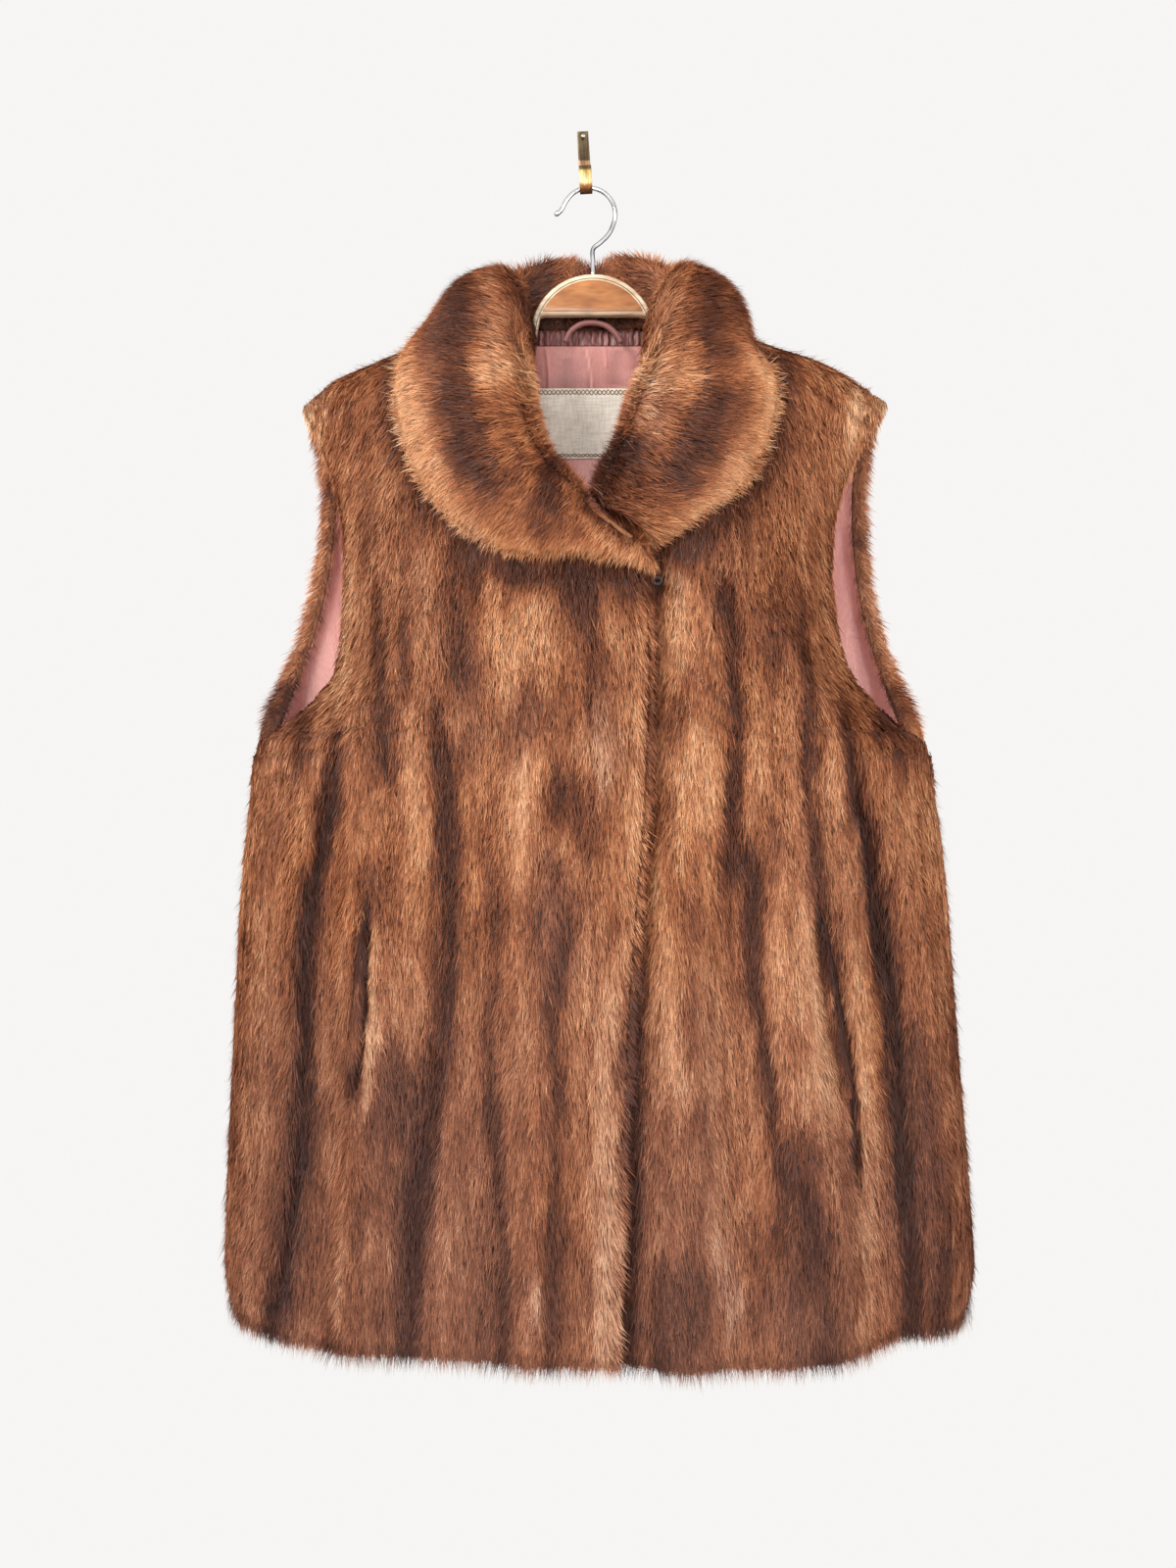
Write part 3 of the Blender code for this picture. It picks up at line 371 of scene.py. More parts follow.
def strip_material():
    """The brass strip: painted dark reflections up the wall, a tan stretch, and a painted glint low on its
    front limb.
    """
    made, nodes, links, shader = new_material("brass_strip")
    height = nodes.new("ShaderNodeMapRange")
    set_inputs(height, {"From Min": STRIP_GLINT_AND_SHADE_BANDS[0][0] * MM, "From Max": STRIP_GLINT_AND_SHADE_BANDS[-1][0] * MM})
    links.new(axes(nodes, links, "Object")["Z"], height.inputs["Value"])
    span = STRIP_GLINT_AND_SHADE_BANDS[-1][0] - STRIP_GLINT_AND_SHADE_BANDS[0][0]
    colour = ramp(nodes, links, height.outputs["Result"],
                  [((z - STRIP_GLINT_AND_SHADE_BANDS[0][0]) / span, shade) for z, shade in STRIP_GLINT_AND_SHADE_BANDS])
    brush = noise_node(nodes, links, 900.0, (1, 1, 0.05), 4.0)
    wear = noise_node(nodes, links, 260.0, (1, 1, 0.6), 4.0, 0.5)
    tint = ramp(nodes, links, brush, ((0.3, (0.55, 0.52, 0.48)), (0.7, (1.30, 1.30, 1.28))))
    colour = mixed(nodes, links, "MULTIPLY", 1.0, colour, tint)
    colour = mixed(nodes, links, "MULTIPLY", 0.6, colour,
                   ramp(nodes, links, wear, ((0.35, (0.6, 0.55, 0.5)), (0.65, (1.15, 1.15, 1.1)))))
    links.new(colour, shader.inputs["Base Color"])
    set_inputs(shader, {"Metallic": 0.85, "Roughness": 0.34})
    bumped(nodes, links, shader, brush, 0.25, 0.0003)
    return made


def thread_material(name, dark, pale):
    made, nodes, links, shader = new_material(name)
    twist = noise_node(nodes, links, 1500.0, (1, 1, 1), 2.0)
    colour = ramp(nodes, links, twist, ((0.3, dark), (0.7, pale)))
    links.new(colour, shader.inputs["Base Color"])
    set_inputs(shader, {"Roughness": 0.75, "Sheen Weight": 0.3})
    bumped(nodes, links, shader, twist, 0.5, 0.0003)
    return made


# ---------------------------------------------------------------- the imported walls, read back as surfaces


def read_node(name):
    """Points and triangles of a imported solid, with points at one place merged."""
    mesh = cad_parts[name].data
    mesh.calc_loop_triangles()
    points = np.empty(len(mesh.vertices) * 3)
    mesh.vertices.foreach_get("co", points)
    points = points.reshape(-1, 3)
    triangles = np.empty(len(mesh.loop_triangles) * 3, np.int32)
    mesh.loop_triangles.foreach_get("vertices", triangles)
    _, first, number = np.unique(np.round(points / 2e-6).astype(np.int64), axis=0, return_index=True,
                                 return_inverse=True)
    triangles = number.reshape(-1)[triangles].reshape(-1, 3)
    whole = (triangles[:, 0] != triangles[:, 1]) & (triangles[:, 1] != triangles[:, 2])
    whole &= triangles[:, 0] != triangles[:, 2]
    return points[first], triangles[whole]


def face_normals(points, triangles):
    a, b, c = (points[triangles[:, k]] for k in range(3))
    cross = np.cross(b - a, c - a)
    size = np.linalg.norm(cross, axis=1)
    return cross / (size[:, None] + 1e-15), size / 2


def smooth_regions(triangles, normal, most_turn):
    """A region's number for each triangle. Regions end where neighbours turn by over most_turn degrees."""
    edges = {}
    joined = [[] for _ in triangles]
    limit = math.cos(math.radians(most_turn))
    for number, corners in enumerate(triangles):
        for a, b in ((0, 1), (1, 2), (2, 0)):
            key = (min(corners[a], corners[b]), max(corners[a], corners[b]))
            other = edges.setdefault(key, number)
            if other != number and normal[other] @ normal[number] > limit:
                joined[number].append(other)
                joined[other].append(number)
    region = np.full(len(triangles), -1)
    count = 0
    for start in range(len(triangles)):
        if region[start] >= 0:
            continue
        stack = [start]
        region[start] = count
        while stack:
            for other in joined[stack.pop()]:
                if region[other] < 0:
                    region[other] = count
                    stack.append(other)
        count += 1
    return region


OUTER, INNER, RIM = 0, 1, 2


def wall_sides(points, triangles, away, most_turn=55):
    """OUTER, INNER or RIM for each triangle of a wall. away gives the outward direction at places."""
    normal, area = face_normals(points, triangles)
    middle = points[triangles].mean(1)
    outward = (normal * unit(away(middle))).sum(1) * area
    region = smooth_regions(triangles, normal, most_turn)
    total = area.sum()
    side = np.full(len(triangles), RIM)
    for number in range(region.max() + 1):
        inside = region == number
        vote, size = outward[inside].sum(), area[inside].sum()
        if size > 0.04 * total and abs(vote) > 0.2 * size:
            side[inside] = OUTER if vote > 0 else INNER
    return side


def point_normals(points, triangles, side):
    """A smooth normal for each point, from its outer triangles, or else from its inner ones."""
    normal, area = face_normals(points, triangles)
    total = {kind: np.zeros_like(points) for kind in (OUTER, INNER)}
    for kind, made in total.items():
        chosen = side == kind
        for k in range(3):
            np.add.at(made, triangles[chosen, k], normal[chosen] * area[chosen, None])
    is_outer = np.linalg.norm(total[OUTER], axis=1) > 1e-12
    is_inner = ~is_outer & (np.linalg.norm(total[INNER], axis=1) > 1e-12)
    made = np.where(is_outer[:, None], unit(total[OUTER]), unit(total[INNER]))
    made[~is_outer & ~is_inner] = 0
    return made, np.where(is_outer, OUTER, np.where(is_inner, INNER, RIM))


def tessellate(points, triangles, side, normal, kind):
    """Cuts each triangle in four. A new point between two of one face of the wall bulges out."""
    pairs = np.concatenate([triangles[:, [0, 1]], triangles[:, [1, 2]], triangles[:, [2, 0]]])
    pairs = np.sort(pairs, axis=1)
    edges, number = np.unique(pairs, axis=0, return_inverse=True)
    number = number.reshape(-1)
    a, b = edges[:, 0], edges[:, 1]
    middle = (points[a] + points[b]) / 2
    half = (points[b] - points[a]) / 2
    bulge = (half * normal[b]).sum(1)[:, None] * normal[b] - (half * normal[a]).sum(1)[:, None] * normal[a]
    same = (kind[a] == kind[b]) & (kind[a] != RIM)
    middle = middle + np.where(same[:, None], 0.5 * 0.75 * bulge, 0)
    n = len(points)
    count = len(triangles)
    ab, bc, ca = number[:count] + n, number[count:2 * count] + n, number[2 * count:] + n
    i, j, k = triangles.T
    cut = np.concatenate([np.stack(t, 1) for t in ((i, ab, ca), (ab, j, bc), (ca, bc, k), (ab, bc, ca))])
    return np.concatenate([points, middle]), cut, np.tile(side, 4)


class Wall:
    """A packed wall as fine triangles, with its outer face, smooth normals and thickness."""

    def __init__(self, name, away, levels, most_turn=55):
        points, triangles = read_node(name)
        side = wall_sides(points, triangles, away, most_turn)
        self.tree = BVHTree.FromPolygons(points.tolist(), triangles.tolist())
        for _ in range(levels):
            normal, kind = point_normals(points, triangles, side)
            points, triangles, side = tessellate(points, triangles, side, normal, kind)
        self.name, self.points, self.triangles, self.side = name, points, triangles, side
        self.normal, self.kind = point_normals(points, triangles, side)
        self.thick = self.thickness()

    def thickness(self):
        """How thick the wall is under each outer point."""
        made = np.full(len(self.points), 3 * MM)
        for i in np.flatnonzero(self.kind == OUTER):
            start = Vector(self.points[i] - self.normal[i] * 0.3 * MM)
            hit = self.tree.ray_cast(start, Vector(-self.normal[i]), 30 * MM)
            if hit[3] is not None:
                made[i] = hit[3] + 0.3 * MM
        return np.clip(made, 2.5 * MM, 14 * MM)


def front_away(middle, forward=-1.0):
    """The way out of the vest at places on its fronts: forward, more and more sideways, and a little up."""
    count = len(middle)
    return np.stack([(middle[:, 0] - CENTRE_X) * 2.2, np.full(count, forward), np.full(count, 0.3)], 1)


def back_away(middle):
    """The same on its back."""
    return front_away(middle, 1.0)


NECK_MIDDLE = (CENTRE_X, -235 * MM)


def collar_away(middle):
    """From the middle of the roll's hollow, which is the mean place of the faces at a turn round the neck."""
    turn = np.arctan2(middle[:, 2] - NECK_MIDDLE[1], middle[:, 0] - NECK_MIDDLE[0])
    made = np.empty_like(middle)
    for i, angle in enumerate(turn):
        near = np.abs((turn - angle + math.pi) % (2 * math.pi) - math.pi) < math.radians(7)
        made[i] = middle[i] - middle[near].mean(0)
    return made


# ---------------------------------------------------------------- fur


# Creases of the fronts, as they show in the front view: the column and row of the frame at the top and the
# foot, the bow of the line between them to the right, in columns, and the half width and depth in
# millimetres. RIDGES have the same columns, but stand up.
CREASES = (
    # col_top, row_top, col_foot, row_foot, bow, half_width, depth
    (316, 735, 284, 792, 4, 5, 4),
    (375, 915, 362, 1122, 4, 4, 5),
    (716, 880, 724, 1180, 2, 5, 2),
    (843, 955, 882, 1225, 3, 4, 6),
)
RIDGES = (
    (362, 770, 352, 1340, 0, 12, 2),
    (424, 680, 420, 1000, 0, 14, 2),
    (540, 600, 520, 900, 0, 18, 2),
    (606, 1000, 608, 1385, 6, 14, 3),
    (695, 700, 700, 1250, 0, 16, 2),
    (790, 700, 812, 1160, 4, 14, 2),
    (688, 600, 686, 820, 0, 9, 4),
    (682, 820, 662, 1100, 0, 9, 4),
    (662, 1100, 652, 1385, 0, 9, 4),
    (872, 1000, 886, 1360, 0, 12, 2),
)

# The deep folds and the two pocket slits of the fronts: the half width in columns of the frame, the painted
# shade that darkens the fur there, the depth in millimetres, and the column and row of places on the way down.
# Folds that reach the hem run on below it.
FOLDS = (
    # half width, painted shade, depth, places
    (10, 0.74, 8, ((343, 705), (340, 780), (331, 840), (320, 900), (312, 960), (311, 1080), (306, 1180),
                   (293, 1260), (279, 1335), (250, 1480))),
    (13, 0.44, 4, ((436, 660), (453, 780), (458, 860), (461, 920), (457, 1020), (446, 1100), (428, 1190),
                   (422, 1260), (417, 1330), (410, 1480))),
    (8, 0.26, 2, ((386, 560), (385, 640), (389, 730), (400, 810))),
    (9, 0.22, 1, ((462, 560), (466, 700))),
    (8, 0.26, 3, ((500, 1030), (503, 1150), (506, 1210), (515, 1270), (513, 1480))),
    (10, 0.26, 3, ((590, 870), (577, 960), (561, 1020), (567, 1090), (569, 1200), (563, 1320), (560, 1480))),
    # the next two rows are the painted shadow of the over front's free edge on the under front
    (5, 0.32, 0, ((668, 570), (665, 700), (660, 790), (661, 850), (653, 930), (650, 1020))),
    (10, 0.66, 0, ((652, 930), (648, 1010), (644, 1080), (644, 1150), (648, 1240), (641, 1330),
                   (638, 1500))),
    (9, 0.38, 4, ((736, 550), (748, 650), (755, 720), (751, 780), (745, 850), (740, 930))),
    (10, 0.38, 4, ((750, 800), (768, 900), (769, 1000), (782, 1080), (790, 1150), (804, 1210), (790, 1290))),
    (8, 0.32, 3, ((816, 560), (823, 680), (828, 790), (833, 870), (846, 960), (858, 1040), (868, 1120))),
    (10, 0.74, 8, ((852, 660), (865, 745), (876, 790), (886, 845), (896, 905), (904, 965), (914, 1030),
                   (917, 1100), (922, 1200), (930, 1270), (931, 1345), (934, 1500))),
    (12, 0.30, 2, ((815, 1180), (838, 1250), (842, 1330), (844, 1460))),
    (10, 0.26, 0, ((676, 1260), (673, 1330), (670, 1460))),
    (9, 0.24, 0, ((966, 1240), (963, 1330), (962, 1440))),
    (9, 0.34, 0, ((907, 640), (902, 700), (896, 760))),
    (7, 0.24, 1, ((410, 620), (420, 720))),
    (4.5, 0.95, 2, ((376, 890), (373, 927), (369, 997), (366, 1056), (358, 1122))),
    (4, 0.80, 2, ((836, 890), (845, 960), (851, 999), (859, 1054), (871, 1110), (873, 1157), (880, 1230))),
)

# Lighter and darker bands on the fronts, mostly the pelts' own, some painted shadow and light: the line as in
# CREASES, its half width in columns, how much lighter (above 0) or darker the fur is there, and how much
# greyer.
BANDS = (
    # col_top, row_top, col_foot, row_foot, bow, half_wide, lighter, greyer
    (306, 900, 292, 1345, 6, 15, -0.16, 0.20),
    (272, 790, 252, 1330, 0, 20, 0.04, 0.20),
    (318, 700, 300, 790, 0, 10, -0.22, 0.0),
    (360, 1080, 380, 1420, 0, 90, -0.06, 0.10),
    (765, 700, 770, 1150, 0, 70, 0.05, 0.0),
    (385, 950, 372, 1115, 2, 6, 0.34, 0.0),
    (358, 580, 360, 740, 0, 12, 0.10, 0.0),
    (342, 860, 333, 1160, 0, 11, 0.12, 0.0),
    (345, 1130, 342, 1335, 0, 12, 0.12, 0.15),
    (422, 660, 425, 870, 0, 13, 0.15, 0.0),
    (408, 870, 410, 1060, 0, 24, 0.06, 0.0),
    (400, 1060, 428, 1185, 0, 22, -0.20, 0.20),
    (418, 1170, 416, 1370, 0, 14, -0.18, 0.15),
    (455, 1120, 460, 1340, 0, 14, 0.04, 0.0),
    (505, 590, 515, 700, 0, 22, 0.18, 0.0),
    (548, 600, 556, 690, 0, 20, 0.16, 0.0),
    (470, 640, 480, 760, 0, 18, -0.12, 0.35),
    (540, 700, 530, 760, 0, 36, -0.13, 0.35),
    (530, 770, 525, 880, 0, 26, 0.09, 0.15),
    (575, 780, 600, 850, 0, 30, -0.20, 0.0),
    # painted shadow under the collar's lower edge
    (585, 555, 590, 610, 0, 20, -0.24, 0.0),
    (603, 600, 602, 720, 0, 11, -0.22, 0.0),
    (626, 585, 628, 660, 0, 11, 0.14, 0.0),
    (610, 715, 612, 790, 0, 20, 0.12, 0.60),
    (650, 600, 653, 860, 0, 7, 0.10, 0.0),
    (640, 800, 640, 990, 2, 13, 0.20, 0.0),
    (628, 960, 606, 1120, 2, 14, 0.20, 0.0),
    (617, 1090, 616, 1440, 0, 14, 0.22, 0.0),
    (560, 870, 575, 1000, 0, 32, -0.05, 0.45),
    (540, 990, 530, 1120, 0, 16, 0.08, 0.15),
    (542, 1300, 546, 1340, 0, 9, 0.20, 0.60),
    (500, 880, 505, 1000, 0, 12, -0.10, 0.10),
    (690, 580, 700, 700, 0, 14, 0.08, 0.0),
    (698, 700, 690, 740, 0, 16, -0.16, 0.0),
    (712, 745, 690, 870, 0, 12, 0.20, 0.0),
    # painted light on the under front where the over front's edge casts its shadow
    (672, 880, 690, 1130, 0, 14, 0.18, 0.0),
    (725, 990, 735, 1290, 0, 12, 0.08, 0.15),
    (768, 660, 775, 860, 0, 16, 0.06, 0.0),
    (780, 830, 775, 900, 0, 18, -0.24, 0.0),
    (800, 690, 806, 860, 0, 12, 0.12, 0.0),
    (800, 570, 790, 680, 0, 16, -0.14, 0.0),
    (848, 730, 850, 900, 0, 9, 0.08, 0.0),
    (820, 930, 848, 1110, 0, 12, 0.22, 0.0),
    (822, 1000, 840, 1160, 0, 20, 0.15, 0.0),
    (820, 1150, 815, 1200, 0, 24, -0.20, 0.0),
    (830, 1225, 822, 1295, 0, 24, -0.24, 0.0),
    (760, 1220, 745, 1290, 0, 20, 0.06, 0.15),
    (745, 1290, 748, 1340, 0, 14, 0.18, 0.70),
    (800, 1310, 820, 1370, 0, 34, -0.06, 0.50),
    (700, 1290, 690, 1380, 0, 22, -0.14, 0.15),
    (882, 1120, 886, 1370, 0, 14, 0.12, 0.0),
    (868, 940, 893, 1150, 0, 9, 0.16, 0.0),
    (915, 730, 920, 790, 0, 14, -0.22, 0.0),
    (914, 900, 920, 1000, 0, 12, -0.10, 0.0),
    (935, 1050, 955, 1330, 0, 18, -0.16, 0.30),
    (350, 470, 352, 560, 0, 12, 0.08, 0.0),
    (380, 430, 372, 560, 0, 12, -0.12, 0.0),
    (420, 560, 440, 640, 0, 20, 0.04, 0.25),
    # painted shadow: the next three rows darken the fur just under the collar's lower edge
    (470, 548, 480, 572, 0, 22, -0.22, 0.0),
    (530, 566, 545, 588, 0, 24, -0.24, 0.0),
    (700, 546, 700, 566, 0, 26, -0.26, 0.0),
    (665, 552, 668, 574, 0, 8, -0.50, 0.0),
    (684, 575, 690, 592, 0, 10, 0.14, 0.50),
)
TUFTS = (                           # the pale tufts at the shoulder tips, the same at the front and the back
    (298, 362, 306, 412, 0, 26, 0.26, 0.0),
    (922, 372, 906, 424, 0, 24, 0.25, 0.0),
    (305, 412, 318, 445, 0, 17, 0.22, 0.0),
    (876, 402, 862, 440, 0, 17, 0.22, 0.0),
)
CONTRAST = 1.28                     # of the pelts' own lighter and darker places

# The over front's free edge, in columns and rows of the frame.
OPENING_EDGE = (
    (662, 575), (665, 700), (660, 800), (650, 930), (645, 1000), (640, 1100), (632, 1250), (628, 1395),
)


def line_share(columns, rows, line):
    """How far along a line of CREASES or BANDS places are, how far to its right, and a fade past its ends."""
    col_top, row_top, col_foot, row_foot, bow = line[:5]
    along = (rows - row_top) / (row_foot - row_top)
    inside = np.clip(along, 0, 1)
    middle = col_top + (col_foot - col_top) * inside + bow * np.sin(math.pi * inside)
    past = np.maximum(np.maximum(-along, along - 1), 0) * (row_foot - row_top) * PX
    return along, (columns - middle) * PX, np.exp(-((past / (14 * MM)) ** 2))


def fold_field(points, folds):
    """How much painted shade darkens the fur in the folds at places, and how deep the wall bends in there."""
    columns, rows = seen(points)
    columns = columns + 3.0 * noise(points, (0.006, 1, 0.03), 63) + 2.0 * noise(points, (0.003, 1, 0.010), 64)
    fold_shade, depth = np.zeros(len(points)), np.zeros(len(points))
    for half, dark, deep, places in folds:
        at, row = np.array(places, float).T
        inside = (rows - row[0]) / (row[-1] - row[0])
        taper = ease(inside / 0.16) * ease((1 - inside) / 0.16)
        shape = taper * np.exp(-(((columns - np.interp(rows, row, at)) / (half * (0.6 + 0.4 * taper))) ** 2))
        fold_shade += dark * shape
        depth += deep * MM * shape
    return fold_shade, depth


def crease_field(points):
    """How deep the wall bends in at places on the fronts."""
    columns, rows = seen(points)
    depth = np.zeros(len(points))
    depth += fold_field(points, FOLDS)[1] * ease((points[:, 2] + 0.945) / 0.05)
    for sign, table in ((1, CREASES), (-1, RIDGES)):
        for line in table:
            along, beside, _ = line_share(columns, rows, line)
            fade = ease(along / 0.15) * ease((1 - along) / 0.12)
            waver = 1.5 * MM * np.sin(points[:, 2] * 95 + line[0])
            depth += sign * fade * line[6] * MM * np.exp(-(((beside - waver) / (line[5] * MM)) ** 2))
    return depth


def band_field(points, table):
    """How much lighter and how much greyer the pelt is at places, from a table such as BANDS."""
    columns, rows = seen(points)
    lighter, greyer = np.zeros(len(points)), np.zeros(len(points))
    waver = 3.5 * MM * noise(points, (0.02, 1, 0.04), 61) + 2.5 * MM * noise(points, (0.005, 1, 0.02), 62)
    for line in table:
        along, beside, fade = line_share(columns, rows, line)
        wide = line[5] * PX * (0.45 + 0.55 * np.sqrt(np.clip(np.sin(math.pi * np.clip(along, 0, 1)), 0, 1)))
        shape = fade * np.exp(-(((beside + waver) / wide) ** 2))
        lighter += line[6] * shape
        greyer += line[7] * shape
    return lighter, greyer


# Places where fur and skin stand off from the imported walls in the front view: column and row of the middle,
# how far it reaches in columns and in rows, and how far it moves to the right and up, in millimetres.
BODY_PULLS = (
    # column, row, col_reach, row_reach, right, up
    (400, 1400, 190, 60, 0, 8.5),
    (262, 1375, 50, 60, 0, 4),
    (925, 1395, 55, 60, 0, 11),
    (835, 368, 45, 30, 0, 5),
    (305, 398, 25, 25, 4, -5),
)
COLLAR_PULLS = (
    (432, 300, 42, 42, 8, -8),
    (775, 322, 48, 48, -13, -14),
    (650, 268, 50, 40, 0, 9),
    (570, 266, 40, 40, 0, 6),
    (660, 425, 34, 40, -9, 0),
    (650, 480, 36, 36, -15, 0),
    (638, 508, 30, 32, -14, 0),
    (590, 588, 60, 34, 0, 14),
    (652, 594, 25, 24, 0, 8),
    (715, 545, 40, 35, -4, 6),
)


def pulled(points, table):
    """How far fur and skin stand off from the wall at places, from a table of pulls."""
    columns, rows = seen(points)
    move = np.zeros((len(points), 3))
    for column, row, col_reach, row_reach, right, up in table:
        share = np.exp(-((columns - column) / col_reach) ** 2 - ((rows - row) / row_reach) ** 2)
        move[:, 0] += right * MM * share
        move[:, 2] += up * MM * share
    return move


def pelt_girth(points, outward):
    """The distance round the body from its middle, so that stripes keep their width at the sides."""
    return points[:, 0] + outward * (BODY_MIDDLE_Y - points[:, 1]) * np.sign(CENTRE_X - points[:, 0])


def held_in(tone, low, high):
    """Tones with their extremes pressed together below low and above high."""
    tone = np.where(tone > high, high + 0.35 * (tone - high), tone)
    return np.where(tone < low, low - 0.45 * (low - tone), tone)


def body_tones(points, outward, placed):
    """Tone and mauve of the body's fur: pelt stripes that run down, streaks, clouds, placed bands and painted
    shade.
    """
    place = np.stack([pelt_girth(points, outward), np.zeros(len(points)), points[:, 2]], 1)
    waver = 9 * MM * noise(place, (0.2, 1, 0.14), 11)
    stripe = np.cos(2 * math.pi * (place[:, 0] + waver) / (47 * MM))
    own = 0.35 if placed else 1.0
    tone = 0.49 - own * 0.09 * stripe * (0.6 + 0.5 * noise(place, (0.09, 1, 0.11), 12))
    tone += own * (0.12 * noise(place, (0.030, 1, 0.13), 13) + 0.09 * noise(place, (0.09, 1, 0.10), 16))
    tone += 0.05 * noise(place, (0.012, 1, 0.05), 14) + 0.07 * noise(place, (0.028, 1, 0.030), 18)
    tone += 0.06 * noise(place, (0.0045, 1, 0.03), 15) + 0.045 * noise(place, (0.0022, 1, 0.014), 17)
    low = ease((-0.55 - points[:, 2]) / 0.35)
    tone -= 0.055 * low
    mauve = 0.16 + 0.26 * low + (0.12 + 0.12 * low) * noise(place, (0.06, 1, 0.12), 21)
    if placed:
        # painted shadow on the fronts just under the collar's outer edge
        tone -= 0.34 * np.exp(-((collar_gap(points) / (14 * MM)) ** 2))
        # the placed bands, some of them painted shadow and light, and painted shade in the folds
        lighter, greyer = band_field(points, BANDS)
        tone, mauve = tone + lighter - fold_field(points, FOLDS)[0], mauve + 0.6 * greyer
    else:
        mauve += 0.15 * ease(noise(place, (0.05, 1, 0.14), 22))
    tone = held_in(0.49 + CONTRAST * (tone - 0.49), 0.20, 0.66)
    return tone + band_field(points, TUFTS)[0], np.clip(mauve, 0, 0.85)


def collar_gap(points):
    """How far places are from the collar's outer edge, as it lies on the fronts in the front view."""
    edge = foot_line("outer")
    edge = edge[(edge[:, 2] < -0.2)]
    return np.linalg.norm((nearest_on(edge * (1, 0, 1), points * (1, 0, 1)) - points)[:, [0, 2]], axis=1)


# The shoulder tips, where the fur is rounded off: column and row of the middle, radius in millimetres, side.
SHOULDER_TIPS = (
    # column, row, radius, side
    (324, 412, 13, -1),
    (888, 421, 14, 1),
)
# Corners of the outline where the fur hangs straight down: column, row, and reach in millimetres.
DROOPS = ((306, 404, 26), (906, 412, 26), (262, 762, 22), (950, 762, 22))


def rounded(points):
    """Places near the shoulder tips, brought in to a round outline."""
    made = points.copy()
    for column, row, radius, side in SHOULDER_TIPS:
        away = made[:, [0, 2]] - (px_x(column, -0.045), px_z(row, -0.045))
        far = np.linalg.norm(away, axis=1)
        beyond = (side * away[:, 0] > 0) & (away[:, 1] > -6 * MM) & (far > radius * MM)
        made[beyond, 0] -= away[beyond, 0] * (1 - radius * MM / far[beyond])
        made[beyond, 2] -= away[beyond, 1] * (1 - radius * MM / far[beyond])
    return made


def scatter(wall, count, rng, keep=None, side=OUTER):
    """Random places on one side of a wall: the places, normals and wall thicknesses there."""
    faces = wall.triangles[wall.side == side]
    flat, area = face_normals(wall.points, faces)
    if keep is not None:
        area = area * keep(flat)
    chosen = rng.choice(len(faces), count, p=area / area.sum())
    first, second = rng.random((2, count, 1))
    flip = first + second > 1
    first, second = np.where(flip, 1 - first, first), np.where(flip, 1 - second, second)
    corner = faces[chosen]

    def between(values):
        a, b, c = (values[corner[:, k]] for k in range(3))
        return a + first * (b - a) + second * (c - a)

    normal = flat[chosen] if side == RIM else unit(between(wall.normal))
    return between(wall.points), normal, between(wall.thick[:, None])[:, 0]


def turned(direction, normal, angle):
    """Directions turned about normals by angles."""
    side = np.cross(normal, direction)
    return unit(direction * np.cos(angle)[:, None] + side * np.sin(angle)[:, None])


def over_edge_pull(points):
    """From 0 away from the over front's free edge to 1 at it."""
    columns, rows = np.array(OPENING_EDGE, float).T
    edge = np.interp(-points[:, 2], [-px_z(row) for row in rows], [px_x(column) for column in columns])
    return np.exp(-(((edge - points[:, 0]) / (9 * MM)) ** 2))


def armhole_pull(points, rng):
    """Leans some of the fur at the back's armhole edges in over the lining and the rest out past the edge."""
    way = np.where(rng.random(len(points)) < 0.35, 1.2, -2.2)
    return way * np.where(points[:, 2] > ARMPIT_Z, -np.sign(points[:, 0] - CENTRE_X), 0)


def body_flow(points, normal, rng, pull):
    """The way the fur lies: down, and away from the neck on the shoulders. pull leans it to the right."""
    count = len(points)
    beside = points[:, 0] - CENTRE_X
    top = ease((points[:, 2] + 0.29) / 0.08) * (1 - ease((np.abs(beside) - 0.150) / 0.045))
    way = np.stack([np.sign(beside) * (0.02 + 0.55 * top) + 0.55 * pull, np.zeros(count), -np.ones(count)], 1)
    way = unit(way - (way * normal).sum(1)[:, None] * normal)
    swing = 0.16 * noise(points, (0.05, 0.05, 0.09), 31) + 0.13 * noise(points, (0.007, 0.02, 0.02), 32)
    flow = turned(way, normal, swing + HAIR_SWAY * rng.standard_normal(count))
    hang = droop(points)[:, None]
    return unit(flow * (1 - 0.85 * hang) - hang * np.array((0, 0, 1.0)))


def droop(points):
    """From 0 to 1 at the corners of the outline where the fur hangs straight down."""
    columns, rows = seen(points)
    total = np.zeros(len(points))
    for column, row, reach in DROOPS:
        far = np.hypot(columns - column, rows - row) * PX / (reach * MM)
        total = np.maximum(total, np.exp(-far ** 4))
    return total


def bake_map(mesh, points):
    """A UV map that unrolls the piece to both sides, for baking its looks."""
    around = points[:, 0] + np.sign(points[:, 0] - CENTRE_X) * (BODY_MIDDLE_Y - points[:, 1])
    corners = np.empty(len(mesh.loops), np.int32)
    mesh.loops.foreach_get("vertex_index", corners)
    flat = np.stack([(around + 0.45) / 0.9, (points[:, 2] + 1.1) / 1.1], 1)
    made = mesh.uv_layers.new(name="OFBake")
    made.data.foreach_set("uv", flat[corners].astype(np.float32).ravel())


